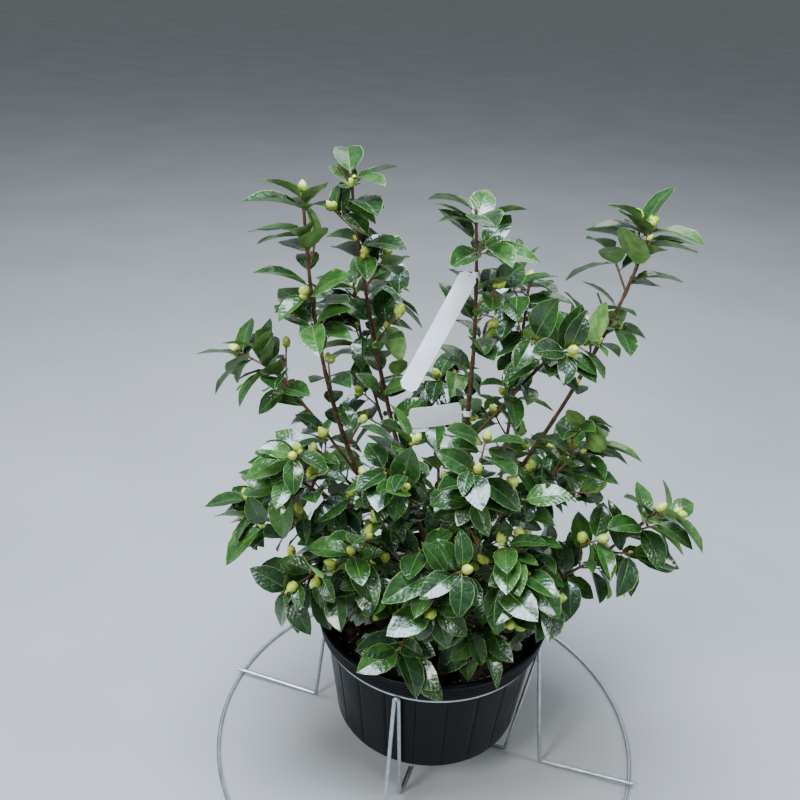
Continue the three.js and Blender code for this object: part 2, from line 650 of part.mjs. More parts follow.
function limbSolid(name, grow) {
  const limb = limbs[name];
  const points = pathPoints(limb.path, 0, limb.end, LIMB_STEPS);
  const thinning = (limb.radii[1] - limb.radii[0]) / LIMB_STEPS;
  const radii = points.map((_, i) => limb.radii[0] + thinning * i + grow);
  if (grow > 0) points[LIMB_STEPS].addScaledVector(limb.path.getTangent(limb.end), grow);
  if (name !== 'trunk') return toSolid(sweep(points, radii, BOUGH_SIDES));
  const flareTop = points[0].clone().add(new THREE.Vector3(0, 0, TRUNK_FLARE_HEIGHT));
  points.splice(1, 0, flareTop);
  radii.splice(0, 1, TRUNK_FOOT_RADIUS + grow, TRUNK_RADIUS + grow);
  return toSolid(sweep(points, radii, TRUNK_SIDES));
}

function buildLimbs() {
  addMesh('trunk', toGeometry(limbSolid('trunk', 0)), materials.bark);
  const earlier = ['trunk'];
  for (const shoot of SHOOTS.filter((candidate) => candidate.bough)) {
    let solid = limbSolid(shoot.name, 0);
    for (const name of earlier) solid = solid.subtract(limbSolid(name, GAP));
    addMesh(`bough_${shoot.name}`, toGeometry(solid), materials.bark);
    earlier.push(shoot.name);
  }
}

function buildFoliage() {
  SHOOTS.forEach((shoot, i) => {
    addMesh(`foliage_${shoot.name}`, fuseFoliage(shoot, growFoliage(shoot, i + 1)), materials.leaf);
  });
}

// Pot, potting mix and stand

function buildPot() {
  const inner = POT_BASE_RADIUS - POT_WALL;
  const innerNeck = POT_NECK_RADIUS - POT_WALL;
  const lipBottom = POT_TOP - POT_LIP_HEIGHT;
  addMesh('pot', turned([
    [0, POT_BASE_HEIGHT], [POT_BASE_RADIUS - 4, POT_BASE_HEIGHT], [POT_BASE_RADIUS, POT_BASE_HEIGHT + 4],
    [POT_NECK_RADIUS, POT_BAND_BOTTOM - 2], [POT_NECK_RADIUS, POT_BAND_BOTTOM],
    [POT_BAND_RADIUS, POT_BAND_BOTTOM], [POT_BAND_RADIUS, lipBottom], [POT_LIP_RADIUS, lipBottom],
    [POT_LIP_RADIUS, POT_TOP - 1.5], [POT_LIP_RADIUS - 1.5, POT_TOP],
    [POT_BAND_RADIUS - POT_WALL, POT_TOP], [POT_BAND_RADIUS - POT_WALL, POT_BAND_BOTTOM + 5],
    [innerNeck, POT_BAND_BOTTOM + 1], [inner, POT_BASE_HEIGHT + POT_WALL], [0, POT_BASE_HEIGHT + POT_WALL],
  ]), materials.pot);
  const soilBottom = POT_BASE_HEIGHT + POT_WALL + GAP;
  addMesh('potting_mix', turned([
    [0, soilBottom], [inner - 0.7, soilBottom], [innerNeck - 0.7, SOIL_EDGE_HEIGHT - 3],
    [innerNeck - 0.7, SOIL_EDGE_HEIGHT], [SOIL_FLAT_RADIUS, SOIL_MIDDLE_HEIGHT], [0, SOIL_MIDDLE_HEIGHT],
  ]), materials.soil);
}

// One leg is one bent wire: spoke, outer rise, narrow turn at the ring, inner drop and hook
function legGeometry() {
  const aside = LEG_WIRE_SPACING / 2;
  const rideOver = 3 * WIRE_RADIUS + GAP;
  const points = [
    [LEG_SPOKE_END, -aside, rideOver], [GROUND_RING_RADIUS - 6, -aside, rideOver],
    [LEG_OUTER_FOOT + 12, -aside, WIRE_RADIUS + 0.6], [LEG_OUTER_FOOT + 2, -aside, WIRE_RADIUS + 0.2],
    [LEG_OUTER_FOOT - 0.5, -aside, WIRE_RADIUS + 2.5], [LEG_OUTER_FOOT - 2, -aside, WIRE_RADIUS + 12],
  ];
  for (let k = 0; k <= 4; k += 1) {
    const turn = (Math.PI * k) / 4;
    points.push([
      LEG_TOP_RADIUS, -aside * Math.cos(turn), LEG_TOP_HEIGHT - aside + aside * Math.sin(turn),
    ]);
  }
  points.push(
    [LEG_INNER_FOOT + 2, aside, WIRE_RADIUS + 12], [LEG_INNER_FOOT + 0.5, aside, WIRE_RADIUS + 2.5],
    [LEG_INNER_FOOT - 2, aside, WIRE_RADIUS + 0.2], [LEG_HOOK_END, aside, WIRE_RADIUS + 0.2],
  );
  const places = points.map((p) => new THREE.Vector3(...p));
  return sweep(places, places.map(() => WIRE_RADIUS), 6);
}

function buildStand() {
  addMesh('stand_ground_ring', wireRing(GROUND_RING_RADIUS, WIRE_RADIUS), materials.wire);
  addMesh('stand_top_ring', wireRing(TOP_RING_RADIUS, TOP_RING_HEIGHT), materials.wire);
  for (let i = 0; i < LEG_COUNT; i += 1) {
    const leg = addMesh(`stand_leg_${i + 1}`, legGeometry(), materials.wire);
    leg.rotation.z = FIRST_LEG_ANGLE + (i * 2 * Math.PI) / LEG_COUNT;
  }
}

// Each tag is a strip on a short neck, with a loop that closes round the stem
function buildTags() {
  for (const tag of TAGS) {
    const loopInner = (tag.stemRadius + TAG_LOOP_SLACK) / Math.cos(Math.PI / LOOP_SIDES);
    const loopOuter = loopInner + 1.5 * TAG_THICKNESS;
    const half = TAG_LOOP_HEIGHT / 2;
    const ring = turned([
      [loopInner, -half], [loopOuter, -half], [loopOuter, half], [loopInner, half], [loopInner, -half],
    ], LOOP_SIDES);
    const upright = new THREE.Quaternion().setFromUnitVectors(new THREE.Vector3(0, 0, 1), tag.stemWay);
    ring.applyQuaternion(upright).translate(...tag.anchor.toArray());
    const out = tag.way.clone().addScaledVector(tag.stemWay, -tag.way.dot(tag.stemWay)).normalize();
    const neck = new THREE.BoxGeometry(TAG_NECK, 1.5 * TAG_THICKNESS, TAG_LOOP_HEIGHT - 2);
    neck.applyMatrix4(new THREE.Matrix4().makeBasis(out, tag.stemWay.clone().cross(out), tag.stemWay));
    const neckMiddle = tag.anchor.clone().addScaledVector(out, loopInner + 0.6 + TAG_NECK / 2);
    neck.translate(...neckMiddle.toArray());
    const strip = new THREE.BoxGeometry(tag.width, TAG_THICKNESS, tag.length);
    strip.applyMatrix4(new THREE.Matrix4().makeBasis(tag.side, tag.face, tag.way));
    const stripMiddle = tag.anchor.clone().addScaledVector(out, loopOuter + TAG_NECK - 2);
    strip.translate(...stripMiddle.addScaledVector(tag.way, tag.length / 2 - 3).toArray());
    const solid = toSolid(ring).add(toSolid(neck)).add(toSolid(strip));
    addMesh(tag.name, toGeometry(solid), materials.tag);
  }
}

function soilHeight(radius) {
  const slope = (SOIL_EDGE_HEIGHT - SOIL_MIDDLE_HEIGHT) / (POT_NECK_RADIUS - SOIL_FLAT_RADIUS);
  return SOIL_MIDDLE_HEIGHT + slope * Math.max(radius - SOIL_FLAT_RADIUS, 0);
}

// Lobed leaf lying flat on the potting mix
function buildFallenLeaf() {
  const lobes = 5;
  const outline = new THREE.Shape();
  for (let i = 0; i < 2 * lobes; i += 1) {
    const angle = (Math.PI * i) / lobes;
    const radius = FALLEN_LEAF_SIZE * (i % 2 === 0 ? 1 : 0.52);
    const corner = [radius * Math.cos(angle) * 1.15, radius * Math.sin(angle) * 0.8];
    if (i === 0) outline.moveTo(...corner);
    else outline.lineTo(...corner);
  }
  const options = { depth: FALLEN_LEAF_THICKNESS, bevelEnabled: false };
  const geometry = new THREE.ExtrudeGeometry(outline, options);
  const radius = Math.hypot(...FALLEN_LEAF_PLACE) - FALLEN_LEAF_SIZE;
  geometry.translate(...FALLEN_LEAF_PLACE, soilHeight(radius) + GAP);
  addMesh('fallen_leaf', geometry, materials.fallen);
}

buildPot();
buildStand();
buildLimbs();
buildFoliage();
buildTags();
buildFallenLeaf();

export default shrub;
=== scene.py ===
# %% [markdown]
# # A potted camellia on a wire stand
# The object is a young camellia shrub, about 0.95 m tall with its pot, photographed after rain.
# It grows in a black moulded nursery pot, and the pot hangs in a stand of galvanised wire.
# This first cell loads the fixed model that every piece is built to fit.
# All numbers of the plant are kept in millimetres, as a gardener would measure them, and
# become metres only where a mesh is made.

# %% Load the fixed model
import json
import math
import bpy
import numpy as np
from mathutils import Matrix, Vector
from mathutils import noise as field

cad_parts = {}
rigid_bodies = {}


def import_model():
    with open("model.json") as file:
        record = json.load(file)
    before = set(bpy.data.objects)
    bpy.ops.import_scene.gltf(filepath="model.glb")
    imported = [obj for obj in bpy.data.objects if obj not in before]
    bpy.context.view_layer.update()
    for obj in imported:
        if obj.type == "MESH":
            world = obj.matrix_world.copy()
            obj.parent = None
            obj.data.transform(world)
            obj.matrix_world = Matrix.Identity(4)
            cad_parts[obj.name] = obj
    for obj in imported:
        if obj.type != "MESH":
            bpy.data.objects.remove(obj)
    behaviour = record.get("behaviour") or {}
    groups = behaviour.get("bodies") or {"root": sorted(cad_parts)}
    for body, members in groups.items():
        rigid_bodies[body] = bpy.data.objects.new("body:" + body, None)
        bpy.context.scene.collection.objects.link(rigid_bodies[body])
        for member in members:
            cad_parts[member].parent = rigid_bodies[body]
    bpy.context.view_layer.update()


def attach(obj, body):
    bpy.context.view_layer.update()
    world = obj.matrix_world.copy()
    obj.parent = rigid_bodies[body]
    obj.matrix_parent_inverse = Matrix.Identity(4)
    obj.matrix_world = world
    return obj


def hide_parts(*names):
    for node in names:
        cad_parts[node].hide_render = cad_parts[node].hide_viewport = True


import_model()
MM = 0.001

# %% [markdown]
# ## Camera
# The camera stands where the photographer stood: about a metre in front of the pot and a
# little above the crown, looking down. Its distance and lens were worked out from the ovals
# that the pot's rim and the stand's rings make in the photo.

# %% Camera
CAMERA_PLACE = (-0.065, -1.090, 1.208)
CAMERA_TILT = math.radians(62.2)
CAMERA_ROLL = math.radians(2.51)
FOCAL_LENGTH = 39.96
SENSOR_WIDTH = 36.0


def put(name, data):
    """A new object in the scene that holds this camera, lamp or mesh."""
    item = bpy.data.objects.new(name, data)
    bpy.context.scene.collection.objects.link(item)
    return item


camera_data = bpy.data.cameras.new("studio_camera")
camera_data.lens = FOCAL_LENGTH
camera_data.sensor_width = SENSOR_WIDTH
camera = put("studio_camera", camera_data)
turn = Matrix.Rotation(CAMERA_TILT, 4, "X") @ Matrix.Rotation(CAMERA_ROLL, 4, "Z")
camera.matrix_world = Matrix.Translation(CAMERA_PLACE) @ turn
bpy.context.scene.camera = camera
print("camera at", CAMERA_PLACE, "with a lens of", FOCAL_LENGTH, "mm")

# %% [markdown]
# ## Two small helpers for materials
# A shader works in linear light, but colours are picked in sRGB, the way a screen shows them,
# so one function turns a hex colour into linear values. Every material below is a tree of
# nodes, and the other function adds a node with its settings, its values and its links.

# %% Helpers for colours and nodes


def colour(hex_text):
    """sRGB hex such as #1f4a22 as linear red, green, blue and alpha."""
    channels = [int(hex_text[i:i + 2], 16) / 255 for i in (1, 3, 5)]
    linear = [c / 12.92 if c <= 0.04045 else ((c + 0.055) / 1.055) ** 2.4 for c in channels]
    return (*linear, 1.0)


def add_node(tree, kind, values=None, links=None, **settings):
    """Adds a node: settings are its properties, values its sockets' values, links its wires."""
    node = tree.nodes.new(kind)
    for name, setting in settings.items():
        setattr(node, name, setting)
    for socket, value in (values or {}).items():
        node.inputs[socket].default_value = value
    for socket, source in (links or {}).items():
        tree.links.new(source, node.inputs[socket])
    return node


print("a mid grey #808080 is", round(colour("#808080")[0], 3), "in linear light")

# %% [markdown]
# ### The steps of a finish
# Most finishes start alike, with two base colours in soft patches of a size in millimetres.
# Some then get relief of a real depth, or a roughness that follows the same patches. Each
# step is a function, so that a finish below says only what sets it apart.

# %% Steps of a finish


def per_metre(size_mm):
    """Noise scale that gives features of this size, on coordinates in metres."""
    return 1000 / size_mm


def finish(name, shader):
    """A new material with one Principled shader, and the tree that goes with it."""
    material = bpy.data.materials.new(name)
    material.use_nodes = True
    tree = material.node_tree
    tree.nodes.clear()
    surface = add_node(tree, "ShaderNodeBsdfPrincipled", shader)
    add_node(tree, "ShaderNodeOutputMaterial", links={"Surface": surface.outputs[0]})
    place = add_node(tree, "ShaderNodeTexCoord").outputs["Object"]
    return material, tree, surface, place


def mottle(tree, place, surface, low, high, size_mm, detail=3.0, contrast=(0.35, 0.65)):
    """Two base colours in soft patches of a real size. Returns the noise that deals them out."""
    values = {"Scale": per_metre(size_mm), "Detail": detail}
    noise = add_node(tree, "ShaderNodeTexNoise", values, {"Vector": place}).outputs["Fac"]
    ramp = add_node(tree, "ShaderNodeValToRGB", links={"Fac": noise})
    for element, position, shade in zip(ramp.color_ramp.elements, contrast, (low, high)):
        element.position = position
        element.color = colour(shade)
    tree.links.new(ramp.outputs["Color"], surface.inputs["Base Color"])
    return noise


def relief(tree, surface, heights, depth_mm, strength):
    """Bump of a real depth, from heights of about 0 to 1."""
    values = {"Strength": strength, "Distance": depth_mm * MM}
    bump = add_node(tree, "ShaderNodeBump", values, {"Height": heights})
    tree.links.new(bump.outputs["Normal"], surface.inputs["Normal"])


def roughness_range(tree, surface, source, low, high):
    """Roughness between two values, following a noise."""
    values = {"From Min": 0.3, "From Max": 0.7, "To Min": low, "To Max": high}
    spread = add_node(tree, "ShaderNodeMapRange", values, {"Value": source})
    tree.links.new(spread.outputs[0], surface.inputs["Roughness"])


def mottled(name, shader, low, high, size_mm, detail=3.0, bump=()):
    """A whole finish in two mottled colours. bump is its relief's depth and strength."""
    material, tree, surface, place = finish(name, shader)
    noise = mottle(tree, place, surface, low, high, size_mm, detail)
    if bump:
        relief(tree, surface, noise, *bump)
    return material


paper = mottled("Pale studio paper", {"Roughness": 0.85}, "#9c9d9b", "#a2a3a1", 400)
print("the first finish is", paper.name, "with", len(paper.node_tree.nodes), "nodes")

# %% [markdown]
# ## Floor and lamps
# The floor is a wide disc of pale paper, so that no edge of it shows. The light is a dull
# bright sky, which a studio imitates with a broad soft lamp above, a weaker one on each side
# and a faint one behind. All look at the middle of the object, and they are small enough to
# break into bright streaks on wet leaves.

# %% Floor and lamps
FLOOR_RADIUS = 60000
FLOOR_SIDES = 64


def mesh_piece(name, corners_mm, faces, materials=(), smooth=True):
    """A mesh object at the origin, from corners in millimetres."""
    mesh = bpy.data.meshes.new(name)
    mesh.from_pydata((np.asarray(corners_mm, float) * MM).tolist(), [], [list(f) for f in faces])
    for material in materials:
        mesh.materials.append(material)
    if smooth:
        mesh.shade_smooth()
    return put(name, mesh)


def full_turn(count):
    """Angles of evenly spaced places on a circle."""
    return [2 * math.pi * k / count for k in range(count)]


floor_edge = [(FLOOR_RADIUS * math.cos(a), FLOOR_RADIUS * math.sin(a), 0) for a in full_turn(FLOOR_SIDES)]
floor = mesh_piece("studio_floor", floor_edge, [range(FLOOR_SIDES)], [paper], smooth=False)

AIM = Vector((0, 0, 0.45))
# Name, place and width in metres, power in watts, and tint
LAMPS = [
    ("sky_lamp", (-0.3, -0.1, 3.0), 1.6, 240, "#dae8ff"),
    ("left_lamp", (-1.8, -2.0, 2.3), 1.0, 90, "#f6faff"),
    ("right_lamp", (2.3, -0.6, 2.0), 0.7, 35, "#eaf2ff"),
    ("back_lamp", (0.8, 2.6, 2.8), 1.8, 20, "#ffffff"),
]
for name, place, size, power, tint in LAMPS:
    lamp_data = bpy.data.lights.new(name, "AREA")
    lamp_data.shape = "DISK"
    lamp_data.size = size
    lamp_data.energy = power
    lamp_data.color = colour(tint)[:3]
    lamp = put(name, lamp_data)
    lamp.location = place
    lamp.rotation_euler = (AIM - Vector(place)).to_track_quat("-Z", "Y").to_euler()

world = bpy.data.worlds.new("dull_sky")
world.use_nodes = True
sky = world.node_tree.nodes["Background"].inputs
sky["Color"].default_value = colour("#d5dde6")
sky["Strength"].default_value = 0.4
bpy.context.scene.world = world
print("floor and", len(LAMPS), "soft lamps")

# %% [markdown]
# ## How the shrub grows
# A camellia shoot is a woody stem with one leaf at each node, every leaf turned on by a fixed
# angle from the last, side twigs in some of the nodes, and a tight whorl of leaves with a bud
# at the tip. The fixed solids were grown by such a rule from a table of shoots, with seeded
# numbers. The same rule and the same numbers are written again here, so that each leaf comes
# up where its solid is, and then the rule is carried on to finer twigs.
#
# Each row gives a shoot's name, the limb that it leaves and at which share of its length, its
# middle and tip, the radius of its foot, the share of its length that is bare, its leaves, its
# side twigs, their length, the half-width of the space that it keeps to, and how far its
# leaves droop. In the first eighteen the bare part is a bough of its own.

# %% The table of shoots
SHOOTS = [
    ("left_tall", "trunk", .84, (-140, -10, 571), (-198, 15, 915), 5.6, .45, 16, 4, 55, 100, .12),
    ("middle_tall", "trunk", .97, (-91, 25, 651), (-141, 45, 935), 5.2, .35, 17, 4, 55, 100, .12),
    ("centre_tall", "trunk", .9, (30, 0, 606), (20, 15, 905), 5.4, .46, 17, 4, 55, 100, .12),
    ("right_tall", "trunk", .7, (169, 15, 640), (256, 55, 880), 4.8, .5, 16, 4, 60, 95, .12),
    ("right_arm", "trunk", .55, (85, -60, 480), (197, -55, 612), 4, .4, 16, 4, 75, 100, .2),
    ("right_middle", "centre_tall", .42, (105, -15, 680), (140, -25, 735), 3, .4, 12, 3, 60, 85, .15),
    ("right_low", "trunk", .3, (150, -75, 380), (290, -85, 525), 3.4, .45, 14, 4, 60, 90, .2),
    ("left_upper", "left_tall", .38, (-201, -25, 640), (-245, -25, 690), 2.8, .3, 13, 3, 70, 90, .2),
    ("left_middle", "left_tall", .28, (-164, -60, 510), (-208, -68, 555), 2.6, .3, 13, 3, 70, 90, .25),
    ("left_far", "left_tall", .12, (-170, -35, 430), (-277, -35, 450), 3, .4, 13, 4, 65, 90, .4),
    ("left_low", "trunk", .6, (-124, -60, 365), (-205, -85, 380), 2.6, .4, 14, 4, 60, 95, .6),
    ("front_upper_left", "left_tall", .16, (-75, -70, 480), (-80, -110, 590), 3.2, .35, 17, 5, 75, 105, .4),
    ("front_upper_right", "centre_tall", .14, (30, -75, 480), (40, -110, 590), 3.2, .35, 17, 5, 75, 105, .4),
    ("back_left", "middle_tall", .2, (-105, 105, 590), (-140, 165, 725), 3.4, .35, 15, 5, 80, 110, .35),
    ("back_centre", "centre_tall", .12, (0, 110, 470), (5, 190, 590), 3.2, .35, 14, 5, 80, 110, .4),
    ("back_right", "right_tall", .22, (105, 100, 590), (120, 165, 755), 3.4, .35, 15, 5, 80, 110, .35),
    ("back_left_low", "trunk", .55, (-100, 80, 390), (-195, 130, 470), 3, .35, 15, 5, 75, 110, .5),
    ("back_right_low", "trunk", .5, (105, 80, 385), (200, 125, 480), 3, .35, 15, 5, 75, 110, .5),
    ("front_left", "trunk", .68, (-78, -90, 365), (-120, -135, 470), 2.8, .3, 20, 7, 80, 125, .5),
    ("front", "trunk", .56, (0, -105, 360), (-10, -165, 470), 2.8, .3, 21, 7, 80, 125, .5),
    ("front_right", "trunk", .44, (80, -90, 355), (115, -140, 460), 2.8, .3, 20, 7, 80, 125, .5),
    ("skirt_front", "trunk", .16, (35, -62, 314), (62, -120, 320), 2.4, .4, 11, 4, 60, 85, .9),
    ("skirt_front_left", "trunk", .24, (-28, -85, 314), (-50, -152, 318), 2.4, .4, 11, 4, 60, 85, .9),
    ("skirt_front_right", "trunk", .2, (80, -28, 325), (152, -50, 348), 2.4, .4, 11, 4, 60, 85, .9),
    ("skirt_left", "trunk", .32, (-80, 0, 325), (-170, 5, 340), 2.4, .35, 12, 4, 65, 100, .7),
    ("skirt_right", "trunk", .36, (90, 20, 325), (178, 35, 345), 2.4, .35, 12, 4, 65, 100, .7),
    ("skirt_back", "trunk", .28, (0, 90, 325), (0, 165, 350), 2.4, .35, 11, 4, 70, 105, .7),
    ("skirt_back_left", "trunk", .26, (-70, 65, 322), (-130, 118, 342), 2.4, .35, 11, 4, 65, 95, .7),
    ("skirt_back_right", "trunk", .22, (72, 68, 322), (128, 122, 342), 2.4, .35, 11, 4, 65, 95, .7),
]
FIELDS = ("name", "on", "at", "middle", "tip", "foot", "bare", "leaves", "twigs", "spread",
          "reach", "droop")
BOUGHS = 18
shoots = [dict(zip(FIELDS, row), bough=number < BOUGHS) for number, row in enumerate(SHOOTS)]
print(len(shoots), "shoots,", sum(s["bough"] for s in shoots), "of them with a bough of their own")

# %% [markdown]
# ### Sizes that the rule shares with the solids
# Lengths are in millimetres and angles in radians. The scene's leaves take the solids' length,
# but their true oval outline and width.

# %% Sizes of the growth rule
POT_TOP = 279
POT_BAND_RADIUS = 176
POT_LIP_RADIUS = 182
TOP_RING_HEIGHT = 242
SOIL_EDGE_HEIGHT = 248
SOIL_MIDDLE_HEIGHT = 253
SOIL_FLAT_RADIUS = 26
TRUNK_FOOT = np.array([0, 0, SOIL_MIDDLE_HEIGHT + 0.3])
TRUNK_MIDDLE = np.array([0, 0, 300.0])
TRUNK_TOP = np.array([-3, 0, 346.0])
TRUNK_RADII = (10.5, 9)
INSIDE_POT_RADIUS = POT_BAND_RADIUS - 10
OUTSIDE_POT_RADIUS = POT_LIP_RADIUS + 5
OVER_MIX_HEIGHT = SOIL_MIDDLE_HEIGHT + 8
OVER_RING_HEIGHT = TOP_RING_HEIGHT - 20
OVER_POT_HEIGHT = POT_TOP + 4
STEM_STEP = 80
STEM_TIP_RADIUS = 2.6
TWIG_FOOT_SHARE = 0.5
TWIG_TIP_RADIUS = 1.2
TWIG_SPREAD = 0.8
TWIG_FORWARD = 0.6
TWIG_RISE = 0.35
TWIG_LENGTHS = (0.8, 1.2)
TWIG_ATTEMPTS = 4
TWIG_CLEARANCE = 5
TWIG_SHORTER = 0.12
TWIG_DROOP = 0.4
TWIG_TESTED = (0.5, 0.75, 1)
TIP_CLEARANCE = 4 * TWIG_CLEARANCE
LIMB_CLEARANCE = 3
TIP_GAP = 0.5
LEAF_LENGTH = 76
LEAF_WIDTH = 47
LEAF_WIDEST = 0.48
LEAF_THICKNESS = 1.8
LEAF_THICKEST = 0.18
LEAF_FOLD = 5
LEAF_CURL = 0.06
LEAF_SCALES = (0.8, 1.14)
LEAF_LEANS = (0.8, 1.4)
LEAF_DROOPS = (0.4, 1.6)
LEAF_STEP = 20
LEAF_TURN = 2.4
LEAF_ATTEMPTS = 12
LEAF_SMALLER = 0.03
LEAF_SWAY = 0.5
LEAF_CLEARANCE = 3
LEAF_STALK = 0.12
NEIGHBOUR_REACH = 1.1 * LEAF_LENGTH
FACE_OUT = 0.45
FACE_ALONG = 0.25
FACE_UP = 0.75
FACE_TILT = 0.4
LIGHT_ALONG = 0.8
ROSETTE_LEAVES = 4
ROSETTE_START = 1
ROSETTE_STEP = 6
ROSETTE_SCALE = 0.95
SPACE_MARGIN = 2
BUD_SHARE = 0.42
BUD_POINTS = (6.3, 14)
TAG_LOOP_HEIGHT = 8
TAG_LOOP_ROOM = 1.3 * TAG_LOOP_HEIGHT
TAG_END_GAPS = (10, 6)
TAG_SIDE_GAP = 4
TAG_FACE_GAP = 11
AXIS_STEPS = 8
UP = np.array([0, 0, 1.0])

TAGS = [
    {"name": "tag_long", "on": "centre_tall", "at": 0.86, "hang": (-76, -50, -148), "width": 25},
    {"name": "tag_short", "on": "centre_tall", "at": 0.52, "hang": (-72, -8, -10), "width": 32},
]
print("a leaf is about", LEAF_LENGTH, "mm long and sits", LEAF_STEP, "mm from the next")

# %% [markdown]
# ### Paths and distances
# Every limb is a curve with one bend through its middle point. The tests for free space ask
# for the distance from a few points to hundreds of straight pieces at once, so they work on
# whole arrays of numbers rather than in loops.

# %% Paths and distances


def unit(vector):
    return vector / math.sqrt(vector @ vector)


class Path:
    """A curve with one bend, from a foot through a middle point to a tip."""

    def __init__(self, foot, middle, tip):
        self.foot = foot
        self.control = 2 * middle - 0.5 * foot - 0.5 * tip
        self.tip = tip

    def point(self, share):
        rest = 1 - share
        return rest * rest * self.foot + 2 * rest * share * self.control + share * share * self.tip

    def way(self, share):
        return unit(self.point(min(share + 1e-4, 1)) - self.point(max(share - 1e-4, 0)))

    def points(self, start, end, steps):
        return np.array([self.point(start + (end - start) * i / steps) for i in range(steps + 1)])

    def length(self):
        return float(np.linalg.norm(np.diff(self.points(0, 1, 200), axis=0), axis=1).sum())


def point_on_line(line, share):
    step = min(int(share * (len(line) - 1)), len(line) - 2)
    part = share * (len(line) - 1) - step
    return line[step] + (line[step + 1] - line[step]) * part


def distances(points, starts, ends):
    """Distance from each point to each straight piece, a row for each point."""
    along = ends - starts
    offset = points[:, None] - starts
    share = np.clip((offset * along).sum(-1) / (along * along).sum(-1), 0, 1)
    return np.linalg.norm(offset - share[..., None] * along, axis=-1)


def radius_at(shoot, share):
    return shoot["foot"] + (STEM_TIP_RADIUS - shoot["foot"]) * share


def on_stem(shoot, share):
    return point_on_line(shoot["stem"], (share - shoot["from"]) / (1 - shoot["from"]))


def straight_pieces(lines):
    """Starts and ends of the straight pieces of several lines."""
    lines = np.array(lines)
    return lines[:, :-1].reshape(-1, 3), lines[:, 1:].reshape(-1, 3)


limbs = {"trunk": {"path": Path(TRUNK_FOOT, TRUNK_MIDDLE, TRUNK_TOP), "end": 1, "radius": TRUNK_RADII[0]}}
for shoot in shoots:
    path = Path(limbs[shoot["on"]]["path"].point(shoot["at"]),
                np.array(shoot["middle"], float), np.array(shoot["tip"], float))
    shoot["path"] = path
    shoot["length"] = path.length()
    shoot["from"] = shoot["bare"] if shoot["bough"] else 0
    steps = max(3, int(shoot["length"] * (1 - shoot["from"]) / STEM_STEP + 0.5))
    shoot["stem"] = path.points(shoot["from"], 1, steps)
    if shoot["bough"]:
        shoot["stem"][0] += path.way(shoot["bare"]) * TIP_GAP
    limbs[shoot["name"]] = {"path": path, "end": shoot["bare"], "radius": shoot["foot"]}
    beyond = path.point(1) + path.way(1) * LEAF_LENGTH / 3
    shoot["axis"] = np.vstack([path.points(shoot["bare"], 1, AXIS_STEPS), beyond])

limb_names = list(limbs)
limb_pieces = straight_pieces([limb["path"].points(0, limb["end"], AXIS_STEPS) for limb in limbs.values()])
limb_room = np.array([limb["radius"] + LIMB_CLEARANCE for limb in limbs.values()])
axis_pieces = straight_pieces([shoot["axis"] for shoot in shoots])
print("longest shoot:", round(max(shoot["length"] for shoot in shoots)), "mm")

# %% [markdown]
# ### The space each shoot may fill
# Leaves keep clear of the pot and its mix, of the hanging tags and of the limbs. A point also
# belongs to the shoot whose axis is nearest, so two masses of leaves never tangle. This is
# what leaves the sky open between the tall shoots.

# %% Tests for free space
for tag in TAGS:
    tag["shoot"] = next(s for s in shoots if s["name"] == tag["on"])
    tag["anchor"] = on_stem(tag["shoot"], tag["at"])
    tag["stem_way"] = unit(on_stem(tag["shoot"], tag["at"] + 0.01) - tag["anchor"])
    tag["stem_radius"] = radius_at(tag["shoot"], tag["at"])
    hang = np.array(tag["hang"], float)
    tag["length"] = math.sqrt(hang @ hang)
    tag["way"] = unit(hang)
    tag["side"] = unit(np.cross(tag["way"], (0, 1, 0)))
    tag["face"] = np.cross(tag["way"], tag["side"])


def clear_of_pot(points):
    radius = np.hypot(points[:, 0], points[:, 1])
    height = points[:, 2]
    inside = radius < INSIDE_POT_RADIUS
    outside = (radius > OUTSIDE_POT_RADIUS) & (height > OVER_RING_HEIGHT)
    return bool(((height > OVER_POT_HEIGHT) | (inside & (height > OVER_MIX_HEIGHT)) | outside).all())


def clear_of_tags(points):
    for tag in TAGS:
        offset = points - tag["anchor"]
        along = offset @ tag["way"]
        near = (along > -TAG_END_GAPS[0]) & (along < tag["length"] + TAG_END_GAPS[1])
        near &= np.abs(offset @ tag["side"]) < tag["width"] / 2 + TAG_SIDE_GAP
        if (near & (np.abs(offset @ tag["face"]) < TAG_FACE_GAP)).any():
            return False
    return True


def clear_of_loops(root):
    return all(np.linalg.norm(root - tag["anchor"]) > TAG_LOOP_ROOM for tag in TAGS)


def in_space(number, points, own_limbs=()):
    """True where every point is in the space of the shoot with this number."""
    points = np.atleast_2d(points)
    if not clear_of_pot(points) or not clear_of_tags(points):
        return False
    near = distances(points, *axis_pieces).reshape(len(points), len(shoots), -1).min(-1)
    own = near[:, number].copy()
    if (own > shoots[number]["reach"]).any():
        return False
    near[:, number] = np.inf
    if (near.min(1) < own + SPACE_MARGIN).any():
        return False
    gaps = distances(points, *limb_pieces).reshape(len(points), len(limbs), -1).min(-1) - limb_room
    for name in own_limbs:
        gaps[:, limb_names.index(name)] = np.inf
    return bool((gaps >= 0).all())


print("the first shoot's axis is in its own space:", in_space(0, shoots[0]["axis"][1:-2]))

# %% [markdown]
# ### Leaves that don't cut through each other
# A leaf is tried with its corners and midrib before it is kept: its edges may not pierce
# another blade, nor its blade a twig. If it fails it is turned and made a little smaller, as
# real leaves twist towards a gap in the light.

# %% A leaf's frame and its tests


def across(along, angle):
    upright = np.array([0, 1.0, 0]) if abs(along[2]) > 0.95 else UP
    first = unit(np.cross(upright, along))
    return first * math.cos(angle) + np.cross(along, first) * math.sin(angle)


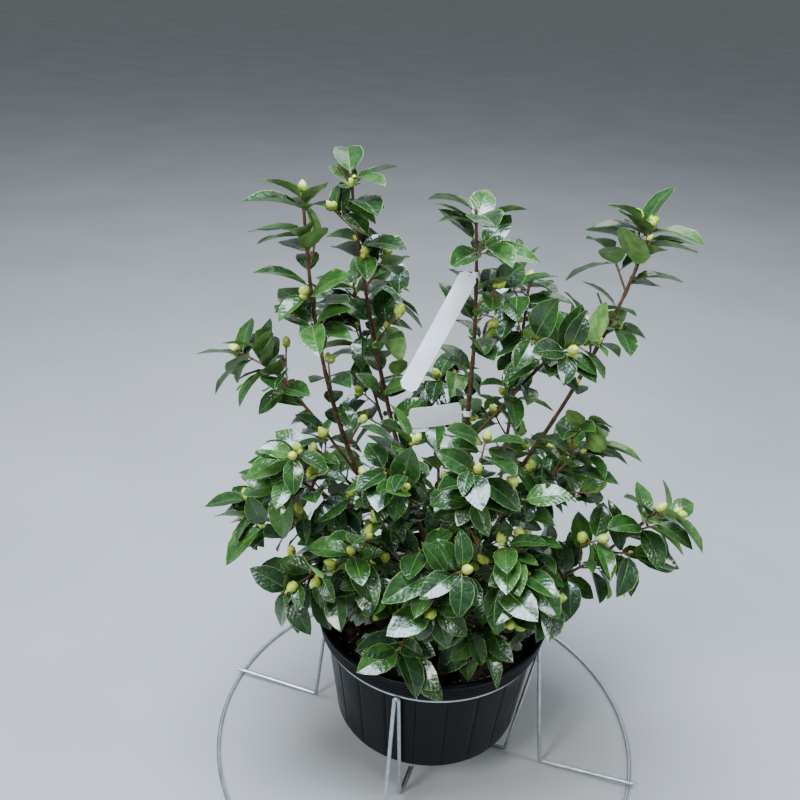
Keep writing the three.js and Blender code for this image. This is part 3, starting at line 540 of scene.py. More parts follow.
class Leaf:
    """One leaf: its frame, its size and the points and edges that the tests look at."""

    def __init__(self, root, along, angle, lean, droop, tilt, size):
        way = across(along, angle) * math.sin(lean) + along * math.cos(lean)
        way[2] -= droop
        self.way = unit(way)
        face = unit(np.array([root[0], root[1], 0])) * FACE_OUT + along * FACE_ALONG + UP * FACE_UP
        face = face + across(self.way, tilt) * FACE_TILT
        self.face = unit(face - self.way * (face @ self.way))
        self.side = np.cross(self.way, self.face)
        self.light = along * LIGHT_ALONG + UP
        self.root = root
        self.length = LEAF_LENGTH * size
        width = LEAF_WIDTH * size
        start = root + self.way * LEAF_STALK * self.length
        left = self.place(LEAF_WIDEST, -width / 2, LEAF_FOLD)
        right = self.place(LEAF_WIDEST, width / 2, LEAF_FOLD)
        tip = self.place(1, 0, -LEAF_CURL * self.length)
        lower = self.place(LEAF_THICKEST, 0, -LEAF_THICKNESS)
        self.middle = (left + right) / 2
        self.halves = np.array([[start, left, tip], [start, right, tip]])
        self.edges = np.array([[start, left], [left, tip], [tip, right], [right, start], [start, tip]])
        self.spots = np.vstack([left, right, tip, lower, self.middle, self.edges[:4].mean(1)])

    def place(self, share, aside, lift):
        return self.root + self.way * self.length * share + self.side * aside + self.face * lift


def pierce(lines, blades):
    """How often a straight line goes through a three-cornered blade."""
    start = lines[:, None, 0]
    along = lines[:, None, 1] - start
    corner = blades[None, :, 0]
    first = blades[None, :, 1] - corner
    second = blades[None, :, 2] - corner
    normal = np.cross(along, second)
    scale = (first * normal).sum(-1)
    scale = np.where(np.abs(scale) < 1e-9, np.nan, scale)
    offset = start - corner
    u = (offset * normal).sum(-1) / scale
    turned = np.cross(offset, first)
    v = (along * turned).sum(-1) / scale
    share = (second * turned).sum(-1) / scale
    return int(((u >= 0) & (v >= 0) & (u + v <= 1) & (share >= 0) & (share <= 1)).sum())


def neighbours(leaf, others):
    return [o for o in others if np.linalg.norm(leaf.middle - o.middle) <= NEIGHBOUR_REACH and o is not leaf]


def apart(leaf, others):
    """True where the leaf keeps a small clearance from all the others, as in the solids."""
    near = neighbours(leaf, others)
    if not near:
        return True
    spots = np.vstack([o.spots for o in near])
    if np.linalg.norm(leaf.spots[:, None] - spots, axis=-1).min() <= LEAF_CLEARANCE:
        return False
    if pierce(leaf.edges, np.vstack([o.halves for o in near])):
        return False
    return not pierce(np.vstack([o.edges for o in near]), leaf.halves)


def clear_of_twigs(leaves, starts, ends):
    """True where the leaves keep clear of the straight pieces of twig."""
    spots = np.vstack([leaf.spots for leaf in leaves])
    if distances(spots, starts, ends).min() < TWIG_CLEARANCE:
        return False
    return not pierce(np.stack([starts, ends], 1), np.vstack([leaf.halves for leaf in leaves]))


level = Leaf(np.array([100.0, 0, 400]), UP, 0, 1, 0, 0, 1)
print("the tests look at", len(level.spots), "points and", len(level.edges), "edges of each leaf")

# %% [markdown]
# ### Seeded numbers
# Chance decides how far each leaf leans and turns, but it has to be the same chance every
# time. This small generator gives the same numbers for the same seed, as it did for the solids.

# %% Seeded numbers


def seeded_numbers(seed):
    """The generator of seeded numbers that the solids were grown with."""
    modulus = 2147483647
    state = (seed * 7919 + 104729) % modulus

    def draw():
        nonlocal state
        state = state * 48271 % modulus
        return state / modulus

    draw()
    draw()
    return draw


draw = seeded_numbers(1)
print("seed 1 starts with", [round(draw(), 3) for _ in range(3)])

# %% [markdown]
# ### One mass of foliage
# The rule works from the tip down. A whorl of leaves closes the stem, then each node below
# gets a side twig or a leaf. A twig has its own whorl, and on some a fat flower bud. The
# numbers are drawn in the same order as for the solids, or the leaves wouldn't match.

# %% The growth rule


class Mass:
    """The foliage of one shoot."""

    def __init__(self, number):
        self.number = number
        self.shoot = shoots[number]
        self.random = seeded_numbers(number + 1)
        self.limit = self.shoot["leaves"]
        self.fine = False
        self.leaves = []
        self.twigs = []
        self.buds = []
        self.spray = 0

    def between(self, limits):
        return limits[0] + (limits[1] - limits[0]) * self.random()

    def segments(self, first=0):
        lines = [twig["points"] for twig in self.twigs[first:]]
        return np.vstack([line[:-1] for line in lines]), np.vstack([line[1:] for line in lines])

    def try_leaf(self, root, along, angle, scale):
        if not clear_of_loops(root):
            return False
        for attempt in range(LEAF_ATTEMPTS):
            lean = self.between(LEAF_LEANS)
            turned = angle + (self.random() - 0.5) * LEAF_SWAY * (1 + attempt)
            droop = self.shoot["droop"] * self.between(LEAF_DROOPS)
            tilt = 2 * math.pi * self.random()
            size = scale * self.between(LEAF_SCALES) * (1 - LEAF_SMALLER * attempt)
            leaf = Leaf(root, along, turned, lean, droop, tilt, size)
            if self.fine:
                turn_to_light(leaf)
                set_oval(leaf)
                leaf.spots = np.vstack([leaf.rim[1:, 1], leaf.spots[3:5]])
                clear = (leaf.spots[:, 2].max() < FINE_TOP and in_space(self.number, leaf.spots)
                         and distances(leaf.spots, SIGHT_LINES[:, 0], SIGHT_LINES[:, 1]).min() > GAP_RADIUS
                         and not crossings(leaf, self.leaves))
            else:
                clear = in_space(self.number, leaf.spots) and apart(leaf, self.leaves)
            clear = clear and clear_of_twigs([leaf], *self.segments())
            if clear:
                if len(self.leaves) < self.limit:
                    leaf.spray = self.spray
                    self.leaves.append(leaf)
                return True
        return False

    def whorl(self, twig, angle, leaves=ROSETTE_LEAVES, scale=ROSETTE_SCALE):
        tip = twig["points"][-1]
        along = unit(tip - twig["points"][-2])
        twig["bud"] = self.random() < BUD_SHARE
        if twig["bud"]:
            twig["points"] = np.vstack([twig["points"], *[tip + along * run for run in BUD_POINTS]])
            self.buds.append((tip, along))
        for i in range(leaves):
            root = tip + along * (ROSETTE_START - ROSETTE_STEP * (i + 1))
            self.try_leaf(root, along, angle + i * LEAF_TURN, scale)

    def twig_tip(self, root, along, angle, length):
        way = across(along, angle) * TWIG_SPREAD + along * TWIG_FORWARD
        way[2] += TWIG_RISE - TWIG_DROOP * self.shoot["droop"]
        tip = root + unit(way) * length
        own = (self.shoot["name"], self.shoot["on"])
        points = np.array([root + (tip - root) * share for share in TWIG_TESTED])
        if not clear_of_loops(root) or not in_space(self.number, points, own):
            return None
        line = np.array([root]), np.array([tip])
        if self.leaves and not clear_of_twigs(self.leaves, *line):
            return None
        if len(self.twigs) > 1:
            starts, ends = self.segments(1)
            if distances(tip[None], starts, ends).min() <= TIP_CLEARANCE:
                return None
        return tip

    def add_twig(self, root, tip, radii):
        """A new twig. Its points go on with its bud's, and its wood ends at the tip."""
        self.spray += 1
        twig = {"points": np.array([root, tip]), "radii": radii, "wood": np.array([root, tip])}
        self.twigs.append(twig)
        return twig

    def grow_twig(self, root, along, angle, length, stem_radius):
        tip = None
        for attempt in range(TWIG_ATTEMPTS):
            if tip is None:
                shorter = length * (1 - TWIG_SHORTER * attempt)
                tip = self.twig_tip(root, along, angle + attempt * LEAF_TURN, shorter)
        if tip is None:
            return False
        self.whorl(self.add_twig(root, tip, (TWIG_FOOT_SHARE * stem_radius, TWIG_TIP_RADIUS)), angle)
        count = int(np.linalg.norm(tip - root) / LEAF_STEP)
        way = unit(tip - root)
        for i in range(count - 2, 0, -1):
            self.try_leaf(root + (tip - root) * i / count, way, angle - i * LEAF_TURN, 1)
        return True

    def grow(self):
        shoot = self.shoot
        main = {"points": shoot["stem"].copy(), "wood": None}
        self.twigs.append(main)
        nodes = int(shoot["length"] * (1 - shoot["bare"]) / LEAF_STEP)
        every = max(1, (nodes - 1) // shoot["twigs"])
        self.start = self.random() * 2 * math.pi
        self.whorl(main, self.start)
        for i in range(nodes - 1, 0, -1):
            share = shoot["bare"] + (1 - shoot["bare"]) * i / nodes
            root = on_stem(shoot, share)
            along = shoot["path"].way(share)
            angle = self.start - i * LEAF_TURN
            length = shoot["spread"] * self.between(TWIG_LENGTHS) * (1.3 - 0.6 * share)
            wants_twig = (nodes - i) % every == 0 and len(self.twigs) <= shoot["twigs"]
            grown = wants_twig and self.grow_twig(root, along, angle, length, radius_at(shoot, share))
            if not grown:
                self.try_leaf(root, along, angle, 1)


masses = [Mass(number) for number in range(len(shoots))]
for mass in masses:
    mass.grow()
print("grown as the solids:", sum(len(m.leaves) for m in masses), "leaves,",
      sum(len(m.twigs) for m in masses), "twigs,", sum(len(m.buds) for m in masses), "buds")

# %% [markdown]
# ### True outlines
# The solids' leaves are diamonds with four corners. An oval is broader beside its stalk and
# its tip, so a leaf that just cleared its neighbour as a diamond may cut through it now. Each
# one is tested again with its true outline, and is turned about its midrib or made narrower
# until it clears, which real leaves do as well when they unfold in a tight place. First of all
# each blade turns a little on its stalk, so that its upper side faces the light and its stem.
# A leaf that hides the fallen leaf on the mix from the front is made shorter.

# %% Ovals that settle beside each other
BLADE_WIDTH = 41
# Share of the length, and of the half-width there
OVAL = ((0.28, 0.86), (0.55, 1), (0.82, 0.6))
LIGHT_TURN = 0.45
# Spots on the fallen leaf, and lines from them towards the camera
FALLEN_LEAF = [(x, y, 258.0) for x, y in ((95, -62), (112, -76), (112, -60), (114, -44), (130, -58))]
SIGHT_LINES = np.array([[spot, (spot[0] - 20, spot[1] - 120, spot[2] + 110)] for spot in FALLEN_LEAF])
SHORTENED = 0.7
# Turn about the midrib in radians, and share of the full width
SETTLING = [(0, 1), (0.2, 1), (-0.2, 1), (0.4, 0.95), (-0.4, 0.95), (0, 0.82), (0.3, 0.82),
            (-0.3, 0.82), (0.6, 0.85), (-0.6, 0.85), (0, 0.66)]


def turn_blade(leaf, turned):
    """Turns a leaf about its midrib."""
    side = leaf.side * math.cos(turned) + leaf.face * math.sin(turned)
    leaf.face = leaf.face * math.cos(turned) - leaf.side * math.sin(turned)
    leaf.side = side


def turn_to_light(leaf):
    turned = math.atan2(-(leaf.light @ leaf.side), leaf.light @ leaf.face)
    turn_blade(leaf, min(max(turned, -LIGHT_TURN), LIGHT_TURN))


def set_oval(leaf, turned=0.0, narrow=1.0):
    """Gives a leaf its true outline, turned about its midrib and made narrower."""
    turn_blade(leaf, turned)
    leaf.narrow = narrow
    half = narrow * BLADE_WIDTH / 2 * leaf.length / LEAF_LENGTH
    start = leaf.place(LEAF_STALK, 0, 0)
    tip = leaf.place(1, 0, -LEAF_CURL * leaf.length)
    rim = [(start, tip)]
    blades = []
    for way in (-1, 1):
        line = [leaf.place(share, way * half * wide, LEAF_FOLD * wide) for share, wide in OVAL]
        line = [start, *line, tip]
        rim += zip(line[:-1], line[1:])
        blades += [(start, line[i], line[i + 1]) for i in (1, 2, 3)]
    leaf.rim = np.array(rim)
    leaf.blades = np.array(blades)


def crossings(leaf, others):
    near = neighbours(leaf, others)
    if not near:
        return 0
    return (pierce(leaf.rim, np.vstack([o.blades for o in near]))
            + pierce(np.vstack([o.rim for o in near]), leaf.blades))


def settle(leaf, others):
    """Tries small turns and narrower outlines, and keeps the one that crosses least."""
    frame_before = leaf.side, leaf.face
    best = None
    for turned, narrow in SETTLING:
        leaf.side, leaf.face = frame_before
        set_oval(leaf, turned, narrow)
        count = crossings(leaf, others)
        if best is None or count < best[0]:
            best = count, turned, narrow
        if not count:
            break
    leaf.side, leaf.face = frame_before
    set_oval(leaf, *best[1:])
    return best[1:] != (0, 1)


leaves = [leaf for mass in masses for leaf in mass.leaves]
for leaf in leaves:
    turn_to_light(leaf)
    set_oval(leaf)
middles = np.array([leaf.middle for leaf in leaves])
moved = 0
for leaf in leaves:
    if pierce(SIGHT_LINES, leaf.blades):
        leaf.length *= SHORTENED
        set_oval(leaf)
    near = np.flatnonzero(np.linalg.norm(middles - leaf.middle, axis=1) < NEIGHBOUR_REACH)
    moved += settle(leaf, [leaves[i] for i in near])
print(moved, "of", len(leaves), "leaves turned or narrowed,",
      sum(crossings(leaf, leaves) > 0 for leaf in leaves), "still touch a neighbour")

# %% [markdown]
# ### Leaves over the front rim
# The two whorls that hang over the front rim are what the eye meets first, so their leaves are
# set one by one, in the directions that the photo shows, instead of by the rule.

# %% Leaves set one by one
RIM_LEAF_DEPTH = 2
# Shoot, direction and scale
RIM_LEAVES = [
    ("skirt_front", (-0.89, 0.34, 0.29), 0.95), ("skirt_front", (0.84, -0.43, -0.33), 0.82),
    ("skirt_front", (0.38, -0.74, -0.56), 1.03), ("skirt_front", (0.83, 0.27, 0.48), 0.87),
    ("skirt_front", (-0.72, -0.47, -0.52), 1.03), ("skirt_front_left", (-0.93, 0.36, -0.12), 0.92),
    ("skirt_front_left", (-0.81, -0.59, -0.07), 0.95), ("skirt_front_left", (0.37, -0.83, -0.42), 0.95),
]
for name, way, size in RIM_LEAVES:
    mass = next(m for m in masses if m.shoot["name"] == name)
    root = mass.shoot["stem"][-1] - mass.shoot["path"].way(1) * RIM_LEAF_DEPTH
    leaf = Leaf(root, unit(np.array(way)), 0, 0, 0, 0, size)
    leaf.spray = 0
    turn_to_light(leaf)
    settle(leaf, leaves)
    mass.leaves.append(leaf)
    leaves.append(leaf)
print(len(RIM_LEAVES), "leaves set over the front rim")

# %% [markdown]
# ### Finer twigs
# Now what the solids leave out: spurs, which are short twigs with up to three smaller leaves,
# all along the stems and twigs wherever there is room, from seeded numbers of their own. Where
# there is no room, a single leaf may still fit. The tall shoots get fewer, because the photo
# shows sky between their leaves, and the low and front ones more. The boughs below the crown
# get some too, except in the tall shoots. One gap stays open in front of the fallen leaf.

# %% Finer growth
FINE_SEED = 500
FINE_STEP = 15
FINE_STEP_TALL = 36
FINE_STEP_LOW = 6
FINE_STEP_FRONT = 9
FINE_TOP = 950
GAP_RADIUS = 20
SPUR_LENGTHS = (24, 44)
SPUR_RADII = (1.3, 0.9)
SPUR_LEAVES = 3
SPUR_TURN = 1.2
BARE_FROM = 0.3
SPUR_LEAF_SCALE = 0.86
FILL_LEAF_SCALE = 0.94
SPUR_SHARE = 0.45


def fine_step(name):
    if "tall" in name:
        return FINE_STEP_TALL
    if "skirt" in name:
        return FINE_STEP_LOW
    return FINE_STEP_FRONT if "front" in name else FINE_STEP


def grow_finer(mass):
    """Spurs and smaller leaves at short steps, within the same space."""
    mass.random = seeded_numbers(FINE_SEED + mass.number)
    mass.limit = math.inf
    mass.fine = True
    shoot = mass.shoot
    lines = [twig["wood"] for twig in mass.twigs[1:]]
    lines.insert(0, shoot["stem"] if shoot["bough"] else shoot["stem"][1:])
    if shoot["bough"] and "tall" not in shoot["name"]:
        lines.append(shoot["path"].points(BARE_FROM * shoot["bare"], shoot["bare"], 4))
    for line in lines:
        lengths = np.linalg.norm(np.diff(line, axis=0), axis=1)
        count = int(lengths.sum() / fine_step(shoot["name"]))
        for i in range(count, 0, -1):
            share = (i - 0.5) / count
            root = point_on_line(line, share)
            step = min(int(share * (len(line) - 1)), len(line) - 2)
            along = unit(line[step + 1] - line[step])
            angle = mass.start + SPUR_TURN - i * LEAF_TURN
            length = mass.between(SPUR_LENGTHS)
            if mass.random() < SPUR_SHARE:
                tip = mass.twig_tip(root, along, angle, length)
                if tip is not None:
                    mass.whorl(mass.add_twig(root, tip, SPUR_RADII), angle, SPUR_LEAVES, SPUR_LEAF_SCALE)
                    continue
            mass.try_leaf(root, along, angle, FILL_LEAF_SCALE)


for mass in masses:
    grow_finer(mass)
leaves = [leaf for mass in masses for leaf in mass.leaves]
print("with finer twigs:", len(leaves), "leaves,", sum(len(m.twigs) for m in masses), "twigs,",
      sum(len(m.buds) for m in masses), "buds")

# %% [markdown]
# ## Geometry Nodes that plant many copies
# Leaves, buds, bark chips and feed pellets are all one kind of job: a few small shapes, each
# copied to many places with its own turn and size. They could be joined in Python, but a node
# tree does it faster and stays readable. The base mesh has only corners, one for each copy,
# and each corner carries its turn, size, shape and tone. The tree picks the shape, realizes
# the copies and sets a material for each tone and for each part of the shape.

# %% Planting copies of small shapes
UNDERSIDE = 2
PLACE_FIELDS = {"turn": "FLOAT_VECTOR", "size": "FLOAT_VECTOR", "shape": "INT", "tone": "INT", "part": "INT"}


def attribute(mesh, name, kind, domain, values):
    layer = mesh.attributes.new(name, kind, domain)
    channel = "vector" if kind == "FLOAT_VECTOR" else "value"
    number_kind = {"INT": int, "BOOLEAN": bool}.get(kind, float)
    layer.data.foreach_set(channel, np.asarray(values, number_kind).ravel())


def geometry_tree(name, **inputs):
    """A new tree that takes and gives geometry, with named inputs. Also returns what it is given."""
    tree = bpy.data.node_groups.new(name, "GeometryNodeTree")
    tree.interface.new_socket("Geometry", in_out="OUTPUT", socket_type="NodeSocketGeometry")
    for label, kind in {"Geometry": "Geometry", **inputs}.items():
        tree.interface.new_socket(label, in_out="INPUT", socket_type="NodeSocket" + kind)
    return tree, add_node(tree, "NodeGroupInput").outputs


def planting_tree(name, tones, parts=()):
    """Copies a collection's shapes to points. tones and parts are materials, in their order."""
    tree, given = geometry_tree(name, Shapes="Collection")
    shapes = add_node(tree, "GeometryNodeCollectionInfo",
                      {"Separate Children": True, "Reset Children": True}, {"Collection": given["Shapes"]})
    stored = {}
    for label, kind in PLACE_FIELDS.items():
        reader = add_node(tree, "GeometryNodeInputNamedAttribute", {"Name": label}, data_type=kind)
        stored[label] = reader.outputs[0]
    copies = add_node(tree, "GeometryNodeInstanceOnPoints", {"Pick Instance": True}, {
        "Points": given["Geometry"], "Instance": shapes.outputs[0], "Instance Index": stored["shape"],
        "Rotation": stored["turn"], "Scale": stored["size"]})
    flow = add_node(tree, "GeometryNodeRealizeInstances", links={"Geometry": copies.outputs[0]})
    for label, materials in (("tone", enumerate(tones)), ("part", enumerate(parts, 1))):
        for number, material in materials:
            test = add_node(tree, "FunctionNodeCompare", {3: number}, {2: stored[label]}, data_type="INT",
                            operation="EQUAL")
            flow = add_node(tree, "GeometryNodeSetMaterial", {"Material": material},
                            {"Geometry": flow.outputs[0], "Selection": test.outputs[0]})
    add_node(tree, "NodeGroupOutput", links={"Geometry": flow.outputs[0]})
    return tree


def run_tree(name, mesh, tree, **inputs):
    """Runs a tree on a mesh with named inputs. The piece is left as a plain mesh."""
    piece = put(name, mesh)
    modifier = piece.modifiers.new(tree.name, "NODES")
    modifier.node_group = tree
    for socket in tree.interface.items_tree:
        if socket.item_type == "SOCKET" and socket.name in inputs:
            modifier[socket.identifier] = inputs[socket.name]
    made = bpy.data.meshes.new_from_object(piece.evaluated_get(bpy.context.evaluated_depsgraph_get()))
    piece.modifiers.clear()
    piece.data = made
    bpy.data.meshes.remove(mesh)
    made.name = name
    for label in (*PLACE_FIELDS, "thick"):
        layer = made.attributes.get(label)
        if layer:
            made.attributes.remove(layer)
    return piece


print("each place stores its", ", ".join(label for label in PLACE_FIELDS if label != "part"))

# %% [markdown]
# ### Shapes and their places
# The small shapes wait in a collection of their own, outside the scene, until they have been
# copied. An edge where a leaf's upper side meets its underside is marked as sharp, or the
# shading of one side would run round into the other.

# %% Shapes and places


def shape_collection(name, shapes):
    """A collection of small shapes outside the scene. A shape may have part numbers and a map."""
    group = bpy.data.collections.new(name)
    for number, (corners, faces, *more) in enumerate(shapes):
        parts = more[0] if more else [0] * len(faces)
        shape = mesh_piece(f"{name}_{number}", corners, faces)
        bpy.context.scene.collection.objects.unlink(shape)
        group.objects.link(shape)
        if more[1:]:
            layer = shape.data.uv_layers.new(name="leaf_map")
            for loop in shape.data.loops:
                layer.uv[loop.index].vector = more[1][loop.vertex_index]
        attribute(shape.data, "part", "INT", "FACE", parts)
        sides = {}
        for polygon in shape.data.polygons:
            for key in polygon.edge_keys:
                sides.setdefault(key, set()).add(parts[polygon.index] == UNDERSIDE)
        rim = [len(sides[edge.key]) > 1 for edge in shape.data.edges]
        attribute(shape.data, "sharp_edge", "BOOLEAN", "EDGE", rim)
    return group


def plant(name, places, group, tree):
    """One joined mesh from places: each has a root, a turn, a size, a shape and a tone."""
    mesh = bpy.data.meshes.new(name + "_places")
    mesh.from_pydata([(p["root"] * MM).tolist() for p in places], [], [])
    for label in ("turn", "size", "shape", "tone"):
        attribute(mesh, label, PLACE_FIELDS[label], "POINT", [p[label] for p in places])
    piece = run_tree(name, mesh, tree, Shapes=group)
    for shape in list(group.objects):
        bpy.data.objects.remove(shape)
    bpy.data.collections.remove(group)
    return piece


def triangles(piece):
    piece.data.calc_loop_triangles()
    return len(piece.data.loop_triangles)


def turn_of(first, second, third):
    """Euler turn of a frame of three upright directions."""
    return tuple(Matrix(np.array([first, second, third]).T.tolist()).to_euler())


print("the floor is one mesh of", triangles(floor), "triangles")

# %% [markdown]
# ## Leaf finishes
# A camellia leaf is leathery and evergreen. Its upper side has a thick waxy skin, and here
# rain lies on it, so the sky shows in it as a pale bluish sheen: a low roughness with a clear
# coat. Underneath it is paler and matt. The midrib is a pale line. Old leaves are almost
# bottle green, younger ones lighter and yellower, and these tones are dealt out by spray.

# %% Leaf materials
# Name, darker and lighter green, and roughness
LEAF_TONES = [
    ("Waxed leaf, bottle green", "#132b12", "#1e3c17", 0.25),
    ("Waxed leaf, deep green", "#1a3615", "#294b1b", 0.23),
    ("Waxed leaf, middle green", "#284a1c", "#3c6226", 0.22),
    ("Young waxed leaf, light green", "#4f6e26", "#6d8a35", 0.25),
]
VEINS = 8
VEIN_SLANT = 0.3
VEIN_SHARE = 0.055
QUILT_SIZE = 7


def vein_heights(tree, place):
    """The blade swells between its side veins, which leave the midrib at a slant."""
    own = add_node(tree, "ShaderNodeUVMap", uv_map="leaf_map")
    across_and_along = add_node(tree, "ShaderNodeSeparateXYZ", links={0: own.outputs[0]}).outputs
    flow = across_and_along[0]
    steps = [("ADD", {1: -0.5}, {}), ("ABSOLUTE", {}, {}),
             ("MULTIPLY_ADD", {1: -VEIN_SLANT * 2}, {2: across_and_along[1]}),
             ("MULTIPLY", {1: 2 * math.pi * VEINS}, {}), ("SINE", {}, {})]
    for operation, values, links in steps:
        flow = add_node(tree, "ShaderNodeMath", values, {0: flow, **links}, operation=operation).outputs[0]
    values = {"Scale": per_metre(QUILT_SIZE), "Detail": 3.5}
    quilt = add_node(tree, "ShaderNodeTexNoise", values, {"Vector": place}).outputs["Fac"]
    both = add_node(tree, "ShaderNodeMath", {1: VEIN_SHARE}, {0: flow, 2: quilt}, operation="MULTIPLY_ADD")
    return both.outputs[0], quilt


leaf_tones = []
for name, dark, light, gloss in LEAF_TONES:
    shader = {"Roughness": gloss, "IOR": 1.47, "Coat Weight": 0.5, "Coat Roughness": 0.08}
    material, tree, surface, place = finish(name, shader)
    mottle(tree, place, surface, dark, light, 14)
    heights, quilt = vein_heights(tree, place)
    roughness_range(tree, surface, quilt, gloss - 0.06, gloss + 0.12)
    relief(tree, surface, heights, 1.5, 0.9)
    leaf_tones.append(material)

# The midrib is a firm pale cord of wood fibres under a thin skin
rib = mottled("Leaf midrib, pale fibre", {"Roughness": 0.35, "IOR": 1.45}, "#4a6c30", "#648a42", 10)

# The underside has no wax: pores make it matt and pale
underside, tree, surface, place = finish("Leaf underside, matt", {"Roughness": 0.42, "IOR": 1.45})
mottle(tree, place, surface, "#557a37", "#7b9f55", 12)
relief(tree, surface, vein_heights(tree, place)[0], 0.8, 0.6)

# The very edge is a thin pale rim, partly the margin's own paler green and partly a painted
# highlight for light that shines through the thin toothed edge and glints on it
edge = mottled("Leaf edge, pale rim and painted highlight", {"Roughness": 0.45, "IOR": 1.45}, "#66823f", "#89a35a", 4)
print(len(leaf_tones), "leaf tones, from", LEAF_TONES[0][0], "to", LEAF_TONES[-1][0])

# %% [markdown]
# ## The leaf's own outline
# The blade is oval with a drawn-out tip and a short stalk. It is folded a little along its
# midrib, it curls down at the tip, and its edge waves. Eight shapes differ in fold, curl, wave
# and twist, so no two neighbours look alike. Each has an upper side with narrow strips for the
# midrib and the pale edge, and an underside that meets it all round, so it is a closed thin
# solid of a few dozen faces.

# %% Leaf shapes
RIB_HALF_WIDTH = 0.6
RIB_DEPTH = 1.1
BLADE_BULGE = 1.2
BLADE_ARCH = 0.05
HALF_WAY = 0.52
EDGE_WIDTH = 0.6
# Share of the length, and of the half-width there
STATIONS = [(0, .05), (.1, .06), (.18, .54), (.34, .93), (.52, 1), (.72, .85), (.89, .42), (1, 0)]
# Which part of the leaf the faces after each column belong to
COLUMN_PARTS = (3, 0, 0, 1, 0, 0, 3, 2, 2)


def leaf_shape(fold, curl, wave, twist, swing, width):
    """Corners, faces, part numbers and map places of a leaf. Part 0 is the upper blade, 1 the
    rib, 2 the underside and 3 the edge. The map runs across from 0 to 1, and along."""
    corners = []
    pattern = []
    rows = []
    for number, (share, wide) in enumerate(STATIONS):
        half = wide * BLADE_WIDTH * width / 2
        inner = half - min(EDGE_WIDTH, 0.3 * half)
        at_rim = inner / half if half else 0
        rib_half = RIB_HALF_WIDTH * (1.3 - share) if share > LEAF_STALK else 0.5 * half
        rise = BLADE_ARCH * math.sin(math.pi * share) - curl * share * share
        left = fold * wide + wave * wide * math.sin(2.7 * number)
        right = fold * wide + wave * wide * math.sin(2.7 * number + 1.9)
        bulge = BLADE_BULGE * wide
        spots = [(-half, left), (-inner, left * at_rim), (-HALF_WAY * half, HALF_WAY * left + bulge),
                 (-rib_half, 0), (rib_half, 0), (HALF_WAY * half, HALF_WAY * right + bulge),
                 (inner, right * at_rim), (half, right), (0, -RIB_DEPTH * (1 - 0.6 * share))]
        row = []
        for x, z in spots:
            turned_x = x * math.cos(twist * share) - z * math.sin(twist * share)
            turned_z = x * math.sin(twist * share) + z * math.cos(twist * share)
            row.append(len(corners))
            pattern.append((0.5 + x / BLADE_WIDTH, share))
            corners.append((swing * LEAF_LENGTH * share * share + turned_x, share * LEAF_LENGTH,
                            rise * LEAF_LENGTH + turned_z))
        rows.append(row)
    columns = len(COLUMN_PARTS)
    tip = rows[-1][0]
    rows[-1] = [tip] * columns
    faces = []
    parts = []
    for before, after in zip(rows[:-1], rows[1:]):
        for column, part in enumerate(COLUMN_PARTS):
            following = (column + 1) % columns
            faces.append((before[column], before[following], after[following], after[column]))
            parts.append(1 if before is rows[0] and part != UNDERSIDE else part)
    faces.append(tuple(reversed(rows[0])))
    parts.append(UNDERSIDE)
    clean = [[corner for i, corner in enumerate(face) if corner != face[i - 1]] for face in faces]
    return corners[:tip + 1], clean, parts, pattern[:tip + 1]


# Fold, curl, wave, twist, swing and width of each shape
LEAF_SHAPES = [
    (5.0, 0.05, 0.6, 0.10, 0.00, 1.00), (3.5, 0.12, 0.9, -0.20, 0.03, 1.04),
    (7.5, 0.08, 0.4, 0.15, -0.03, 0.94), (4.5, 0.20, 0.8, 0.00, 0.02, 0.98),
    (2.5, 0.03, 1.3, -0.10, -0.02, 1.05), (6.5, 0.15, 0.5, 0.25, 0.04, 0.92),
    (4.0, 0.10, 1.1, -0.30, -0.04, 1.00), (9.0, 0.06, 0.3, 0.05, 0.01, 0.90),
]
leaf_group = shape_collection("leaf_shape", [leaf_shape(*numbers) for numbers in LEAF_SHAPES])

# %% Leaves on every twig
TONE_SEED = 700
TONE_LIMITS = (0.26, 0.64, 0.93)
SPRAY_SHARE = 0.7
LEAST_BREADTH = 0.94


def pick_tone(number):
    return sum(number > limit for limit in TONE_LIMITS)


leaf_places = []
for mass in masses:
    draw = seeded_numbers(TONE_SEED + mass.number)
    spray_tones = [draw() for _ in range(mass.spray + 1)]
    for leaf in mass.leaves:
        tone = spray_tones[leaf.spray] if leaf.spray else draw()
        size = leaf.length / LEAF_LENGTH
        broad = size * (LEAST_BREADTH + 0.12 * draw())
        leaf_places.append({
            "root": leaf.root, "turn": turn_of(leaf.side, leaf.way, leaf.face),
            "size": (broad * leaf.narrow, size, size), "shape": int(draw() * len(LEAF_SHAPES)),
            "tone": pick_tone(SPRAY_SHARE * tone + 0.3 * draw()),
        })
leaf_tree = planting_tree("Leaves on twigs", leaf_tones, [rib, underside, edge])
leaf_piece = plant("camellia_leaves", leaf_places, leaf_group, leaf_tree)
print(len(leaf_places), "leaves,", triangles(leaf_piece), "triangles")

# %% [markdown]
# ## Flower buds
# In autumn a camellia sets fat buds at its tips and in the upper leaf axils. Each is an egg
# of overlapping scales, yellow-green and slightly silky. A lathe would give a smooth egg, so
# the rings are stepped out and in where one scale overlaps the next.

# %% Bud material and shapes
bud_skin = mottled("Bud scales, silky green", {"Roughness": 0.42, "IOR": 1.45}, "#9bae38", "#c0cf5a", 5,
                   bump=(0.25, 0.5))
bud_scale = mottled("Bud scales at the foot, brown green", {"Roughness": 0.5}, "#6d7234", "#8f9247", 4)

BUD_LENGTH = 18
BUD_RADIUS = 6.9
BUD_SIDES = 8
SCALE_STEP = 0.07
# Share of the length, and of the radius there
BUD_RINGS = [(0, .35), (.06, .62), (.2, .9), (.3, .86), (.42, 1), (.6, .9), (.76, .66), (.9, .34)]


